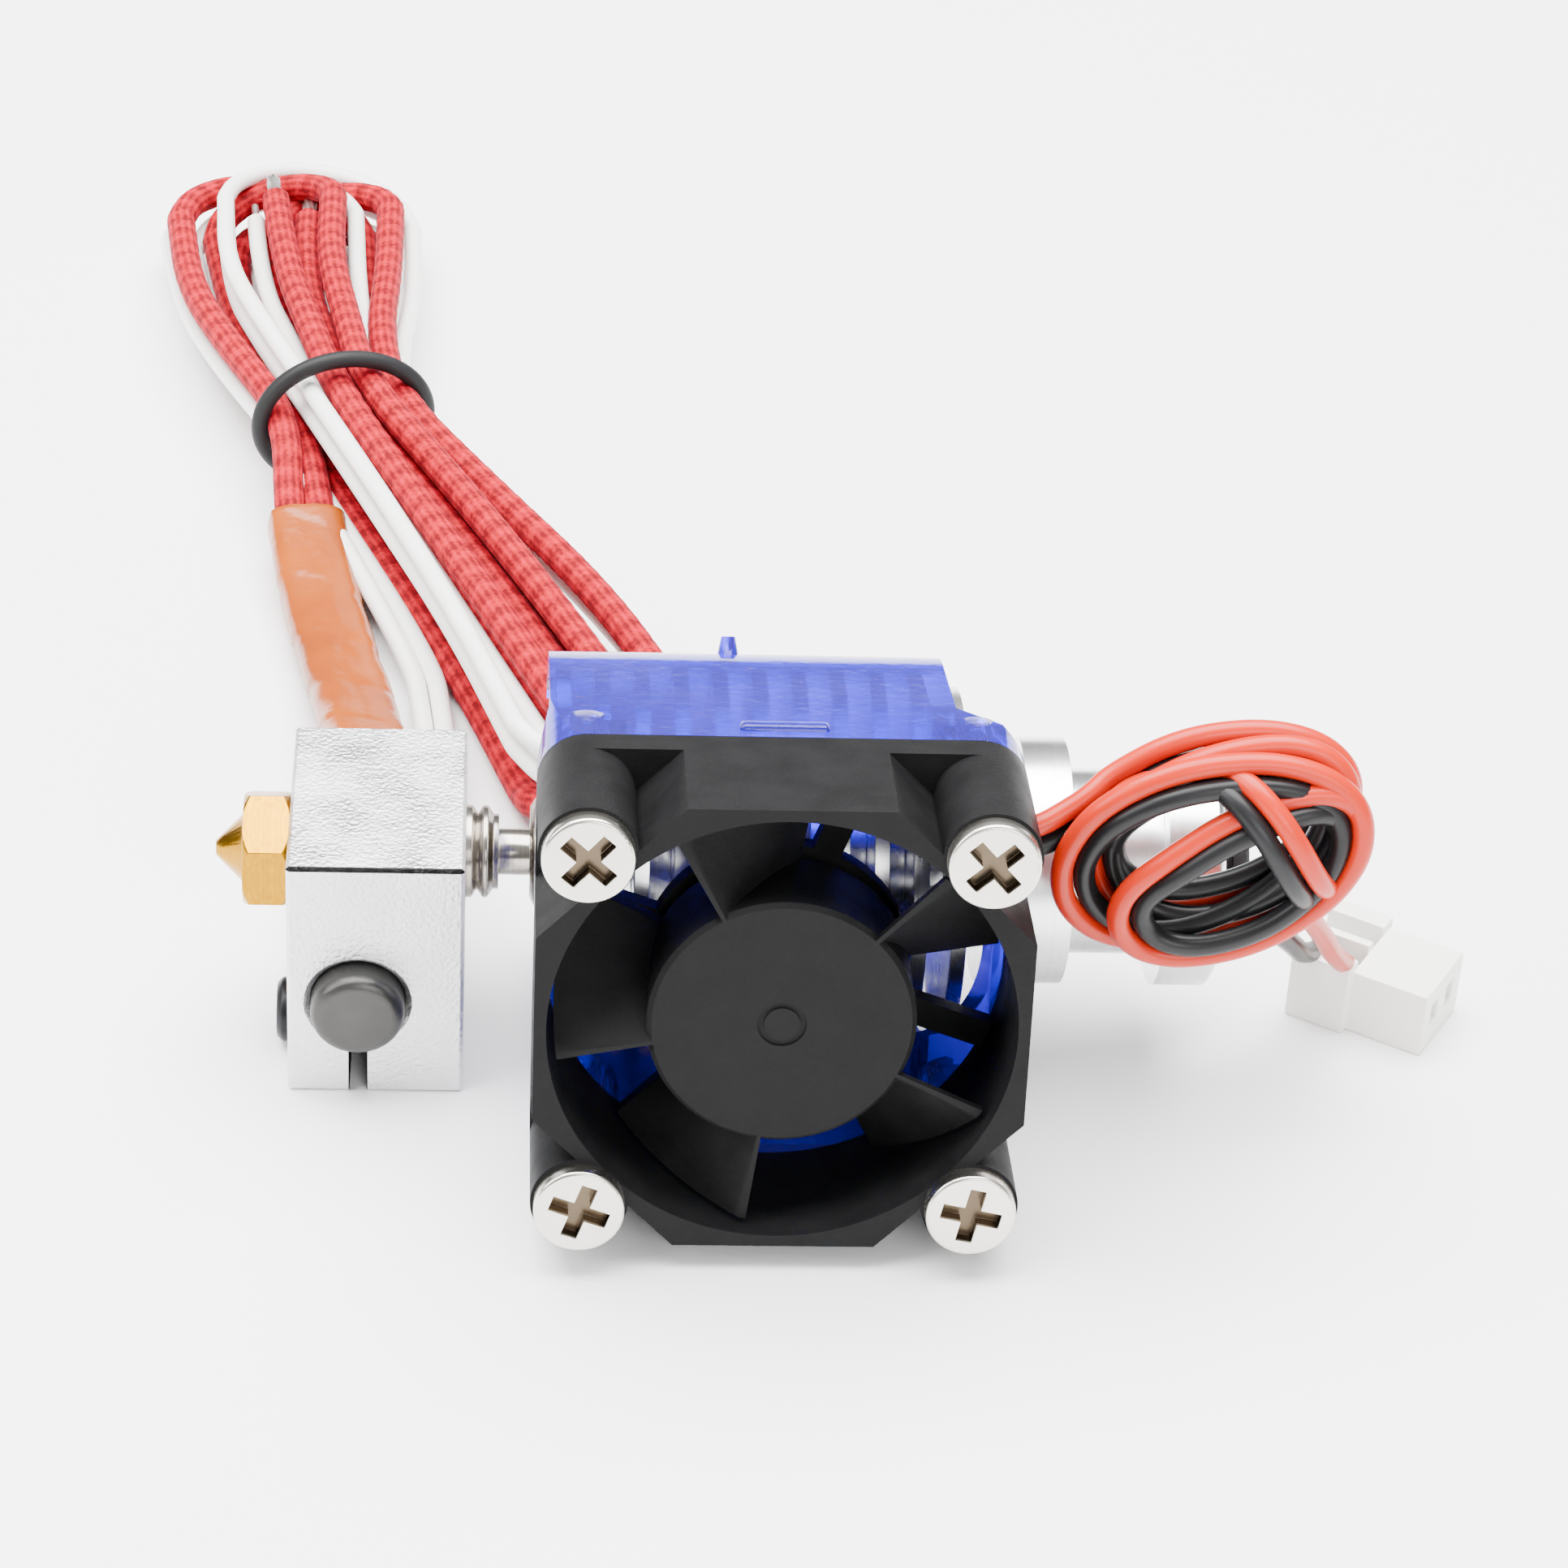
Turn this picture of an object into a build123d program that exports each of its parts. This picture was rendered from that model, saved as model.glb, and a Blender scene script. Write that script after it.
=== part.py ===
from build123d import *
import math
import os

# Hotend for a filament printer, lying on its side with its leads bundled behind it.
# Origin: middle of the mounting groove, on the filament axis. +X runs from the nozzle to the
# groove, the fan faces -Y, +Z is up. All sizes are in millimetres.

# Filament path and heatsink, stations along X
GROOVE_HALF = 3.0
GROOVE_R = 6.0
FLANGE_R = 8.0
COLD_END = 6.7
COLLAR_START = -6.0
DISC_START = -8.5
DISC_END = -7.5
STEM_R = 4.6
FIN_COUNT = 11
FIN_PITCH = 2.5
FIN_THICK = 1.0
FIN_R = 11.15
HOT_FACE = -36.0
CORE_R_HOT = 6.2
CORE_R_COLD = 4.4
LINER_R = 2.0
LINER_BORE_R = 1.0
LINER_HOLE_R = 2.1
COLD_THREAD_R = 3.5
COLD_THREAD_LENGTH = 10.0
THREAD_GAP = 0.02

# Quick-release collet in the cold end
SEAT_R = 3.9
SEAT_START = 1.0
COLLET_POCKET = -1.0
COLLET_R = 2.95
COLLET_BORE_R = 2.05
COLLET_START = 0.5
COLLET_NECK = 7.8
COLLET_HEAD_R = 3.6
COLLET_END = 8.9
SLEEVE_GAP = 0.05

# Heatbreak, block and nozzle
BLOCK_X = (-52.7, -41.5)
BLOCK_Y = (-8.1, 8.1)
BLOCK_Z = (-13.4, 4.1)
NECK_X = (-39.4, -37.4)
NECK_R = 1.5
HOT_THREAD_R = 3.0
THREAD_MEET = -47.1
RING_PITCH = 1.0
RING_DEPTH = 0.55
HEX_ACROSS = 7.0
HEX_LENGTH = 3.0
HEX_TRIM = 0.5
HEX_FACE_R = 3.55
HEX_CORNER_R = 4.1
NOZZLE_TIP = -57.5
NOZZLE_CONE_R = 2.3
NOZZLE_TIP_R = 0.5
ORIFICE_R = 0.2

# Heater, clamp and thermistor
HEATER_X = -48.2
HEATER_Z = -6.3
HEATER_R = 3.0
HEATER_Y = (-9.9, 10.1)
SEAL_END = 10.7
SLIT_WIDTH = 1.1
BLOCK_CHAMFER = 0.2
BORE_CHAMFER = 0.4
CLAMP_YZ = (-2.4, -11.1)
CLAMP_HEAD_R = 2.1
CLAMP_HEAD_HEIGHT = 0.9
CLAMP_SHANK_R = 1.45
CLAMP_END = -43.0
BEAD_XZ = (-43.8, -3.4)
BEAD_R = 1.0
BEAD_HOLE_DEPTH = 3.6
BEAD_SCREW_XZ = (-47.0, 0.6)
WASHER_R = 2.6
WASHER_THICK = 0.5
BEAD_SCREW_R = 1.2

# Fan and duct, drawn upright with the fan axis along Y, then leaned back about X
LEAN = 8.0
FAN_X = -22.2
FAN_SIZE = 30.0
FAN_CORNER_R = 3.0
FAN_FRONT = -23.5
FAN_BACK = -13.5
FAN_FLANGE = 2.0
FAN_OPENING_R = 14.25
SCREW_SPACING = 24.0
POST_R = 3.0
POST_HOLE_R = 1.6
STRUT_WIDTH = 1.8
STRUT_THICK = 1.2
STRUT_TURNS = (20, 110, 200, 290)
BASE_R = 8.3
STRUT_FRONT = FAN_BACK - STRUT_THICK
BOSS_R = 2.2
BOSS_FRONT = -19.8
SLEEVE_R = 1.5
SLEEVE_Y = (-19.6, -15.0)
SHAFT_R = 0.75
SHAFT_GAP = 0.03
SHAFT_Y = (-21.8, -14.3)
CLIP_R = 1.25
CLIP_Y = (-14.85, -14.55)
HUB_R = 8.2
HUB_FRONT = -22.4
HUB_BACK = -16.2
HUB_WALL = 0.6
HUB_FACE = 1.0
YOKE_WALL = 0.35
MAGNET_WALL = 0.95
BLADE_COUNT = 5
BLADE_R = 13.8
BLADE_FIRST = 47.0
BLADE_TWIST = 37.0
BLADE_Y = (-22.3, -15.6)
BLADE_THICK = 0.9
FAN_SCREW_HEAD_R = 2.8
FAN_SCREW_HEAD = 1.2
FAN_SCREW_R = 1.45
FAN_SCREW_END = -9.5
RECESS_LENGTH = 3.7
RECESS_WIDTH = 1.0
RECESS_DEPTH = 0.9
SCREW_TURNS = (20.0, 42.0, 12.0, 48.0)
DUCT_R = 13.0
DUCT_BORE_R = 11.45
DUCT_X = (-36.4, -11.2)
DUCT_FLANGE = 1.5
DUCT_SLANT_END = -7.0
DUCT_WALL = 1.4
DUCT_REAR_HALF_ANGLE = 35.0
DUCT_PLATE_ANGLE = 84.0
DUCT_BOSS_R = 2.7

# Leads
FLOOR = BLOCK_Z[0]
FAN_LEAD_D = 1.4
HEATER_LEAD_D = 2.3
SENSOR_LEAD_D = 1.45
WRAP_INSIDE = (5.2, 2.8)
WRAP_WALL = 0.4
WRAP_CORNER_R = 1.2

os.makedirs("parts", exist_ok=True)


def save(shape, name):
    export_step(shape, "parts/" + name + ".step")


def turned(points):
    """A solid of revolution about the X axis from (x, radius) points."""
    return revolve(make_face(Polyline(*points, close=True)), Axis.X, 360)


def rod_x(radius, start, end, y=0.0, z=0.0):
    """A round bar along X."""
    plane = Plane(origin=(start, y, z), x_dir=(0, 1, 0), z_dir=(1, 0, 0))
    return extrude(plane * Circle(radius), end - start)


def rod_y(radius, start, end, x=0.0, z=0.0):
    """A round bar along Y."""
    plane = Plane(origin=(x, start, z), x_dir=(1, 0, 0), z_dir=(0, 1, 0))
    return extrude(plane * Circle(radius), end - start)


def block_between(x, y, z):
    """A box from its low and high coordinates."""
    size = (x[1] - x[0], y[1] - y[0], z[1] - z[0])
    middle = ((x[0] + x[1]) / 2, (y[0] + y[1]) / 2, (z[0] + z[1]) / 2)
    return Pos(*middle) * Box(*size)


def leaned(shape):
    """Moves a fan or duct piece from upright to its place on the heatsink."""
    return Rot(X=-LEAN) * shape


def corner_places():
    """The four fan screw places, as (x, z), upright."""
    half = SCREW_SPACING / 2
    return [(FAN_X + i * half, k * half) for i in (-1, 1) for k in (-1, 1)]


def ring_profile(start, count, radius):
    """(x, radius) points of thread rings, cut every RING_PITCH from start towards +X."""
    points = []
    for ring in range(count):
        x = start + ring * RING_PITCH
        points += [(x, radius), (x + 0.3 * RING_PITCH, radius)]
        points += [(x + 0.65 * RING_PITCH, radius - RING_DEPTH)]
    return points


# --- heatsink: turned aluminium, fins, disc, collar, groove and end flange ---
def make_heatsink():
    outline = [(HOT_FACE, COLD_THREAD_R)]
    for fin in range(FIN_COUNT):
        share = fin / (FIN_COUNT - 1)
        core = CORE_R_HOT + (CORE_R_COLD - CORE_R_HOT) * share
        low = HOT_FACE + fin * FIN_PITCH
        high = low + FIN_THICK
        if fin > 0:
            outline.append((low, core))
        outline += [(low, FIN_R), (high, FIN_R), (high, core)]
    outline += [(DISC_START, STEM_R), (DISC_START, FLANGE_R)]
    outline += [(DISC_END, FLANGE_R), (DISC_END, STEM_R)]
    outline += [(COLLAR_START, STEM_R), (COLLAR_START, FLANGE_R)]
    outline += [(-GROOVE_HALF, FLANGE_R), (-GROOVE_HALF, GROOVE_R)]
    outline += [(GROOVE_HALF, GROOVE_R), (GROOVE_HALF, FLANGE_R)]
    outline += [(COLD_END - 0.4, FLANGE_R), (COLD_END, FLANGE_R - 0.4)]
    outline += [(COLD_END, SEAT_R), (SEAT_START, SEAT_R)]
    pocket_r = COLLET_R + SLEEVE_GAP
    outline += [(SEAT_START, pocket_r), (COLLET_POCKET, pocket_r)]
    outline += [(COLLET_POCKET, LINER_HOLE_R)]
    thread_end = HOT_FACE + COLD_THREAD_LENGTH
    outline += [(thread_end, LINER_HOLE_R), (thread_end, COLD_THREAD_R)]
    return turned(outline)


save(make_heatsink(), "heatsink")

# --- collet and its brass seat, PTFE liner ---
collet_seat = turned(
    [
        (SEAT_START, COLLET_R + SLEEVE_GAP),
        (SEAT_START, SEAT_R - THREAD_GAP),
        (COLD_END, SEAT_R - THREAD_GAP),
        (COLD_END, COLLET_R + SLEEVE_GAP),
    ]
)
save(collet_seat, "collet_seat")

collet = turned(
    [
        (COLLET_START, COLLET_BORE_R),
        (COLLET_START, COLLET_R),
        (COLLET_NECK, COLLET_R),
        (COLLET_NECK, COLLET_HEAD_R),
        (COLLET_END - 0.3, COLLET_HEAD_R),
        (COLLET_END, COLLET_HEAD_R - 0.3),
        (COLLET_END, COLLET_BORE_R),
    ]
)
CLAW_SLOT = 0.6
CLAW_END = 4.5
for slot_turn in (0, 90):
    slot = block_between((COLLET_START - 1, CLAW_END), (-FIN_R, FIN_R), (-CLAW_SLOT / 2, CLAW_SLOT / 2))
    collet -= Rot(X=slot_turn) * slot
save(collet, "collet")

LINER_START = -36.3
LINER_END = -1.3
liner = rod_x(LINER_R, LINER_START, LINER_END) - rod_x(LINER_BORE_R, LINER_START, LINER_END)
save(liner, "tube_liner")


# --- heatbreak: stainless tube with a thread each side of a thin neck ---
def make_heatbreak():
    cold_r = COLD_THREAD_R - THREAD_GAP
    hot_r = HOT_THREAD_R - THREAD_GAP
    cold_start = HOT_FACE + COLD_THREAD_LENGTH - 0.1
    outline = [(THREAD_MEET + 0.05, LINER_BORE_R), (THREAD_MEET + 0.05, hot_r)]
    outline += [(BLOCK_X[1], hot_r)]
    outline += ring_profile(BLOCK_X[1] + 0.1, 2, hot_r)
    outline += [(NECK_X[0], hot_r - RING_DEPTH), (NECK_X[0], NECK_R)]
    outline += [(NECK_X[1], NECK_R), (NECK_X[1], cold_r - RING_DEPTH)]
    outline += [(NECK_X[1] + 0.3, cold_r), (NECK_X[1] + 0.6, cold_r)]
    outline += [(NECK_X[1] + 0.95, cold_r - RING_DEPTH), (HOT_FACE, cold_r)]
    outline += [(cold_start, cold_r), (cold_start, LINER_R + 0.05)]
    outline += [(LINER_START - 0.05, LINER_R + 0.05), (LINER_START - 0.05, LINER_BORE_R)]
    return turned(outline)


save(make_heatbreak(), "heatbreak")


# --- nozzle: brass, hexagon head and cone ---
def make_nozzle():
    hex_face = BLOCK_X[0] - HEX_LENGTH
    thread_r = HOT_THREAD_R - THREAD_GAP
    body = turned(
        [
            (THREAD_MEET - 0.05, 0),
            (THREAD_MEET - 0.05, thread_r),
            (BLOCK_X[0], thread_r),
            (hex_face, thread_r),
            (hex_face, NOZZLE_CONE_R),
            (NOZZLE_TIP, NOZZLE_TIP_R),
            (NOZZLE_TIP, 0),
        ]
    )
    hex_plane = Plane(origin=(hex_face, 0, 0), x_dir=(0, 0, 1), z_dir=(1, 0, 0))
    head = extrude(hex_plane * RegularPolygon(HEX_ACROSS / 2, 6, major_radius=False), HEX_LENGTH)
    corner_trim = turned(
        [
            (hex_face, 0),
            (hex_face, HEX_FACE_R),
            (hex_face + HEX_TRIM, HEX_CORNER_R),
            (BLOCK_X[0] - HEX_TRIM, HEX_CORNER_R),
            (BLOCK_X[0], HEX_FACE_R),
            (BLOCK_X[0], 0),
        ]
    )
    melt_end = NOZZLE_TIP + 1.6
    channel = turned(
        [
            (THREAD_MEET, 0),
            (THREAD_MEET, LINER_BORE_R),
            (melt_end, LINER_BORE_R),
            (NOZZLE_TIP + 0.5, ORIFICE_R),
            (NOZZLE_TIP - 0.1, ORIFICE_R),
            (NOZZLE_TIP - 0.1, 0),
        ]
    )
    return body + (head & corner_trim) - channel


save(make_nozzle(), "nozzle")


# --- heater block: milled aluminium with a slit clamp ---
def make_block():
    body = block_between(BLOCK_X, BLOCK_Y, BLOCK_Z)
    body = chamfer(body.edges(), BLOCK_CHAMFER)
    bore_r = HEATER_R + SLEEVE_GAP
    body -= rod_x(HOT_THREAD_R, BLOCK_X[0] - 1, BLOCK_X[1] + 1)
    body -= rod_y(bore_r, BLOCK_Y[0] - 1, BLOCK_Y[1] + 1, HEATER_X, HEATER_Z)
    cone_plane = Plane(origin=(HEATER_X, BLOCK_Y[0], HEATER_Z), x_dir=(1, 0, 0), z_dir=(0, 1, 0))
    body -= extrude(cone_plane * Circle(bore_r + BORE_CHAMFER), BORE_CHAMFER, taper=45)
    slit_x = (HEATER_X - SLIT_WIDTH / 2, HEATER_X + SLIT_WIDTH / 2)
    body -= block_between(slit_x, (BLOCK_Y[0] - 1, BLOCK_Y[1] + 1), (BLOCK_Z[0] - 1, HEATER_Z - 1))
    clamp_y, clamp_z = CLAMP_YZ
    body -= rod_x(CLAMP_SHANK_R + SLEEVE_GAP, BLOCK_X[0] - 1, CLAMP_END + 0.5, clamp_y, clamp_z)
    hole_start = BLOCK_Y[1] - BEAD_HOLE_DEPTH
    body -= rod_y(BEAD_R + 0.1, hole_start, BLOCK_Y[1] + 1, *BEAD_XZ)
    body -= rod_y(BEAD_SCREW_R, hole_start, BLOCK_Y[1] + 1, *BEAD_SCREW_XZ)
    return body


save(make_block(), "heater_block")

cartridge = rod_y(HEATER_R, HEATER_Y[0], HEATER_Y[1], HEATER_X, HEATER_Z)
cartridge = chamfer(cartridge.edges().group_by(Axis.Y)[0], 0.5)
save(cartridge, "heater_cartridge")
save(rod_y(2.5, HEATER_Y[1], SEAL_END, HEATER_X, HEATER_Z), "cartridge_seal")

# --- clamp screw, thermistor bead, its washer and screw ---
CLAMP_Y, CLAMP_Z = CLAMP_YZ
clamp_head = rod_x(CLAMP_HEAD_R, BLOCK_X[0] - CLAMP_HEAD_HEIGHT, BLOCK_X[0], CLAMP_Y, CLAMP_Z)
clamp_head = chamfer(clamp_head.edges().group_by(Axis.X)[0], 0.35)
clamp_key = Plane(origin=(BLOCK_X[0] - CLAMP_HEAD_HEIGHT, CLAMP_Y, CLAMP_Z), z_dir=(1, 0, 0))
clamp_head -= extrude(clamp_key * RegularPolygon(1.0, 6, major_radius=False), 0.6)
clamp_shank = rod_x(CLAMP_SHANK_R, BLOCK_X[0], CLAMP_END, CLAMP_Y, CLAMP_Z)
save(clamp_head + clamp_shank, "clamp_screw")

bead_start = BLOCK_Y[1] - BEAD_HOLE_DEPTH + 0.2
bead = rod_y(BEAD_R, bead_start, BLOCK_Y[1] - 0.2, *BEAD_XZ)
bead = fillet(bead.edges().group_by(Axis.Y)[0], 0.6)
save(bead, "thermistor_bead")

washer = rod_y(WASHER_R, BLOCK_Y[1], BLOCK_Y[1] + WASHER_THICK, *BEAD_SCREW_XZ)
washer -= rod_y(BEAD_SCREW_R + 0.1, BLOCK_Y[1] - 1, BLOCK_Y[1] + 1, *BEAD_SCREW_XZ)
save(washer, "thermistor_washer")

screw_seat = BLOCK_Y[1] + WASHER_THICK
screw_head = rod_y(2.1, screw_seat, screw_seat + 1.5, *BEAD_SCREW_XZ)
screw_head = fillet(screw_head.edges().group_by(Axis.Y)[-1], 0.7)
key_plane = Plane(origin=(BEAD_SCREW_XZ[0], screw_seat + 0.6, BEAD_SCREW_XZ[1]), z_dir=(0, 1, 0))
screw_head -= extrude(key_plane * RegularPolygon(0.75, 6, major_radius=False), 2)
screw_shank = rod_y(BEAD_SCREW_R - THREAD_GAP, BLOCK_Y[1] - BEAD_HOLE_DEPTH + 0.3, screw_seat, *BEAD_SCREW_XZ)
save(screw_head + screw_shank, "thermistor_screw")


# --- fan frame: square flange, octagonal ring, corner posts, motor base on struts ---
def face_at(y, shape):
    """A flat shape drawn in (x, z) about the fan axis, placed at a depth y, facing +Y."""
    plane = Plane(origin=(FAN_X, y, 0), x_dir=(1, 0, 0), z_dir=(0, 1, 0))
    return plane * shape


def fan_rod(radius, start, end):
    return rod_y(radius, start, end, FAN_X, 0)


def make_fan_frame():
    flange_front = FAN_BACK - FAN_FLANGE
    frame = extrude(face_at(flange_front, RectangleRounded(FAN_SIZE, FAN_SIZE, FAN_CORNER_R)), FAN_FLANGE)
    octagon = Rot(0, 0, 22.5) * RegularPolygon(FAN_SIZE / 2, 8, major_radius=False)
    frame += extrude(face_at(FAN_FRONT, octagon), flange_front - FAN_FRONT)
    for x, z in corner_places():
        frame += rod_y(POST_R, FAN_FRONT, flange_front, x, z)
    frame -= fan_rod(FAN_OPENING_R, FAN_FRONT - 1, FAN_BACK + 1)
    for x, z in corner_places():
        frame -= rod_y(POST_HOLE_R, FAN_FRONT - 1, FAN_BACK + 1, x, z)
    struts = fan_rod(BASE_R, STRUT_FRONT, FAN_BACK)
    reach = FAN_OPENING_R + 0.3
    for strut_turn in STRUT_TURNS:
        bar = Pos(reach / 2, 0) * Rectangle(reach, STRUT_WIDTH)
        struts += extrude(face_at(STRUT_FRONT, Rot(0, 0, strut_turn) * bar), STRUT_THICK)
    frame += struts
    frame += fan_rod(BOSS_R, BOSS_FRONT, STRUT_FRONT)
    frame -= fan_rod(SLEEVE_R, BOSS_FRONT - 1, FAN_BACK - 0.4)
    return frame


NOTCH_Z = 8.6
NOTCH_HALF = 1.7
notch = block_between(
    (FAN_X + 14.0, FAN_X + 16.0),
    (FAN_BACK - FAN_FLANGE - 0.2, FAN_BACK + 0.1),
    (NOTCH_Z - NOTCH_HALF, NOTCH_Z + NOTCH_HALF),
)
save(leaned(make_fan_frame() - notch), "fan_frame")

# --- motor: sleeve, board, stator, coils, label ---
sleeve = fan_rod(SLEEVE_R, *SLEEVE_Y) - fan_rod(SHAFT_R + SHAFT_GAP, SLEEVE_Y[0] - 1, SLEEVE_Y[1] + 1)
save(leaned(sleeve), "sleeve_bearing")

BOARD_Y = (-15.9, -15.1)
board = fan_rod(6.0, *BOARD_Y) - fan_rod(BOSS_R, BOARD_Y[0] - 1, BOARD_Y[1] + 1)
save(leaned(board), "fan_circuit_board")

STATOR_Y = (-19.9, -17.3)
POLE_R = 5.9
POLE_INNER_R = 5.2
ARM_WIDTH = 1.6
COIL_R = (3.6, 5.0)


def make_stator():
    core = fan_rod(3.3, *STATOR_Y)
    tips = fan_rod(POLE_R, *STATOR_Y) - fan_rod(POLE_INNER_R, STATOR_Y[0] - 1, STATOR_Y[1] + 1)
    depth = STATOR_Y[1] - STATOR_Y[0]
    for arm_turn in (0, 45, 90, 135):
        gap_or_arm = Rot(0, 0, arm_turn)
        if arm_turn % 90 == 0:
            bar = Rectangle(2 * POLE_INNER_R + 0.4, ARM_WIDTH)
            core += extrude(face_at(STATOR_Y[0], gap_or_arm * bar), depth)
        else:
            tips -= extrude(face_at(STATOR_Y[0], gap_or_arm * Rectangle(2 * POLE_R + 1, 1.4)), depth)
    return core + tips - fan_rod(BOSS_R, STATOR_Y[0] - 1, STATOR_Y[1] + 1)


save(leaned(make_stator()), "stator_core")


def make_coils():
    coils = []
    over = 0.45
    radial = COIL_R[1] - COIL_R[0]
    centre = (COIL_R[0] + COIL_R[1]) / 2
    for arm_turn in range(0, 360, 90):
        outer = Rot(0, 0, arm_turn) * Pos(centre, 0) * Rectangle(radial, ARM_WIDTH + 2 * over)
        inner = Rot(0, 0, arm_turn) * Pos(centre, 0) * Rectangle(radial + 1, ARM_WIDTH)
        depth = STATOR_Y[1] - STATOR_Y[0]
        coil = extrude(face_at(STATOR_Y[0] - over, outer), depth + 2 * over)
        coil -= extrude(face_at(STATOR_Y[0], inner), depth)
        coils.append(coil)
    return Compound([solid for coil in coils for solid in coil.solids()])


save(leaned(make_coils()), "stator_coils")
save(leaned(fan_rod(7.5, FAN_BACK, FAN_BACK + 0.1)), "fan_label")


# --- impeller: cup hub with five twisted blades, then yoke, magnet, shaft and clip ---
def make_blade(lead_angle):
    """A blade that starts at lead_angle at the front and twists clockwise, seen from the front."""
    half = math.radians(BLADE_TWIST / 2)
    middle = lead_angle - BLADE_TWIST / 2
    sections = []
    for radius in (HUB_R - 1.0, BLADE_R + 1.0):
        reach = radius * math.tan(half)
        thick = BLADE_THICK / 2
        corners = [
            (reach, BLADE_Y[0] - thick),
            (reach, BLADE_Y[0] + thick),
            (-reach, BLADE_Y[1] + thick),
            (-reach, BLADE_Y[1] - thick),
        ]
        plane = Plane(origin=(radius, 0, 0), x_dir=(0, 0, 1), z_dir=(1, 0, 0))
        points = [(across, -depth) for across, depth in corners]
        sections.append(plane * make_face(Polyline(*points, close=True)))
    blade = loft(sections, ruled=True)
    return Pos(FAN_X, 0, 0) * Rot(Y=-middle) * blade


def make_impeller():
    hub = fan_rod(HUB_R, HUB_FRONT, HUB_BACK)
    hub = chamfer(hub.edges().group_by(Axis.Y)[0], 0.3)
    sweep_room = fan_rod(BLADE_R, HUB_FRONT, STRUT_FRONT - 0.2)
    sweep_room -= fan_rod(HUB_R - 0.3, HUB_FRONT - 1, FAN_BACK)
    spokes = [make_blade(BLADE_FIRST + step * 360 / BLADE_COUNT) for step in range(BLADE_COUNT)]
    swept = [sweep_room & spoke for spoke in spokes]
    cup = HUB_R - HUB_WALL
    hub -= fan_rod(cup, HUB_FRONT + HUB_FACE, HUB_BACK + 1)
    hub += fan_rod(1.7, HUB_FRONT + HUB_FACE, HUB_FRONT + HUB_FACE + 0.9)
    for blade in swept:
        hub += blade
    hub -= fan_rod(SHAFT_R, SHAFT_Y[0], HUB_BACK)
    hub -= fan_rod(1.5, HUB_FRONT - 1, HUB_FRONT + 0.15)
    hub += fan_rod(1.1, HUB_FRONT, HUB_FRONT + 0.3)
    return hub


save(leaned(make_impeller()), "impeller")

YOKE_R = HUB_R - HUB_WALL
YOKE_FRONT = HUB_FRONT + HUB_FACE
yoke = fan_rod(YOKE_R, YOKE_FRONT, HUB_BACK - 0.2)
yoke -= fan_rod(YOKE_R - YOKE_WALL, YOKE_FRONT + YOKE_WALL, HUB_BACK + 1)
yoke -= fan_rod(1.7, YOKE_FRONT - 1, HUB_BACK)
save(leaned(yoke), "rotor_yoke")

MAGNET_R = YOKE_R - YOKE_WALL
magnet = fan_rod(MAGNET_R, YOKE_FRONT + 0.8, HUB_BACK - 0.4)
magnet -= fan_rod(MAGNET_R - MAGNET_WALL, YOKE_FRONT, HUB_BACK + 1)
save(leaned(magnet), "rotor_magnet")
save(leaned(fan_rod(SHAFT_R, *SHAFT_Y)), "rotor_shaft")
shaft_clip = fan_rod(CLIP_R, *CLIP_Y) - fan_rod(SHAFT_R, CLIP_Y[0] - 1, CLIP_Y[1] + 1)
save(leaned(shaft_clip), "shaft_clip")


# --- fan screws: four pan heads with a cross recess ---
def make_fan_screws():
    head_top = FAN_FRONT - FAN_SCREW_HEAD
    screws = []
    for (x, z), turn in zip(corner_places(), SCREW_TURNS):
        head = rod_y(FAN_SCREW_HEAD_R, head_top, FAN_FRONT, x, z)
        head = fillet(head.edges().group_by(Axis.Y)[0], 0.25)
        plane = Plane(origin=(x, head_top, z), x_dir=(1, 0, 0), z_dir=(0, 1, 0))
        for cut_turn in (turn, turn + 90):
            slot = Rot(0, 0, cut_turn) * Rectangle(RECESS_LENGTH, RECESS_WIDTH)
            head -= extrude(plane * slot, RECESS_DEPTH)
        screws.append(head + rod_y(FAN_SCREW_R, FAN_FRONT, FAN_SCREW_END, x, z))
    return Compound([solid for screw in screws for solid in screw.solids()])


save(leaned(make_fan_screws()), "fan_screws")


# --- duct: translucent clip that holds the fan and wraps the fins ---
def touch_angle(radius, half_front):
    """Where a wall from the front corner runs tangent into a circle, in radians from +Y."""
    reach = math.hypot(FAN_BACK, half_front)
    return math.atan2(half_front, FAN_BACK) - math.acos(radius / reach)


def on_circle(radius, angle):
    return (radius * math.cos(angle), radius * math.sin(angle))


def duct_wall_face():
    """The upper wall in (y, z): straight from the flange, then round the fins to its lip."""
    half = FAN_SIZE / 2
    lip = math.radians(DUCT_REAR_HALF_ANGLE)
    outer_touch = touch_angle(DUCT_R, half)
    inner_touch = touch_angle(DUCT_BORE_R, half - DUCT_WALL)
    outer_arc = ThreePointArc(
        on_circle(DUCT_R, outer_touch),
        on_circle(DUCT_R, (outer_touch + lip) / 2),
        on_circle(DUCT_R, lip),
    )
    inner_arc = ThreePointArc(
        on_circle(DUCT_BORE_R, lip),
        on_circle(DUCT_BORE_R, (inner_touch + lip) / 2),
        on_circle(DUCT_BORE_R, inner_touch),
    )
    edges = [Line((FAN_BACK, half), outer_arc @ 0), outer_arc, Line(outer_arc @ 1, inner_arc @ 0)]
    edges += [inner_arc, Line(inner_arc @ 1, (FAN_BACK, half - DUCT_WALL))]
    edges += [Line((FAN_BACK, half - DUCT_WALL), (FAN_BACK, half))]
    return make_face(edges)


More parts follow.
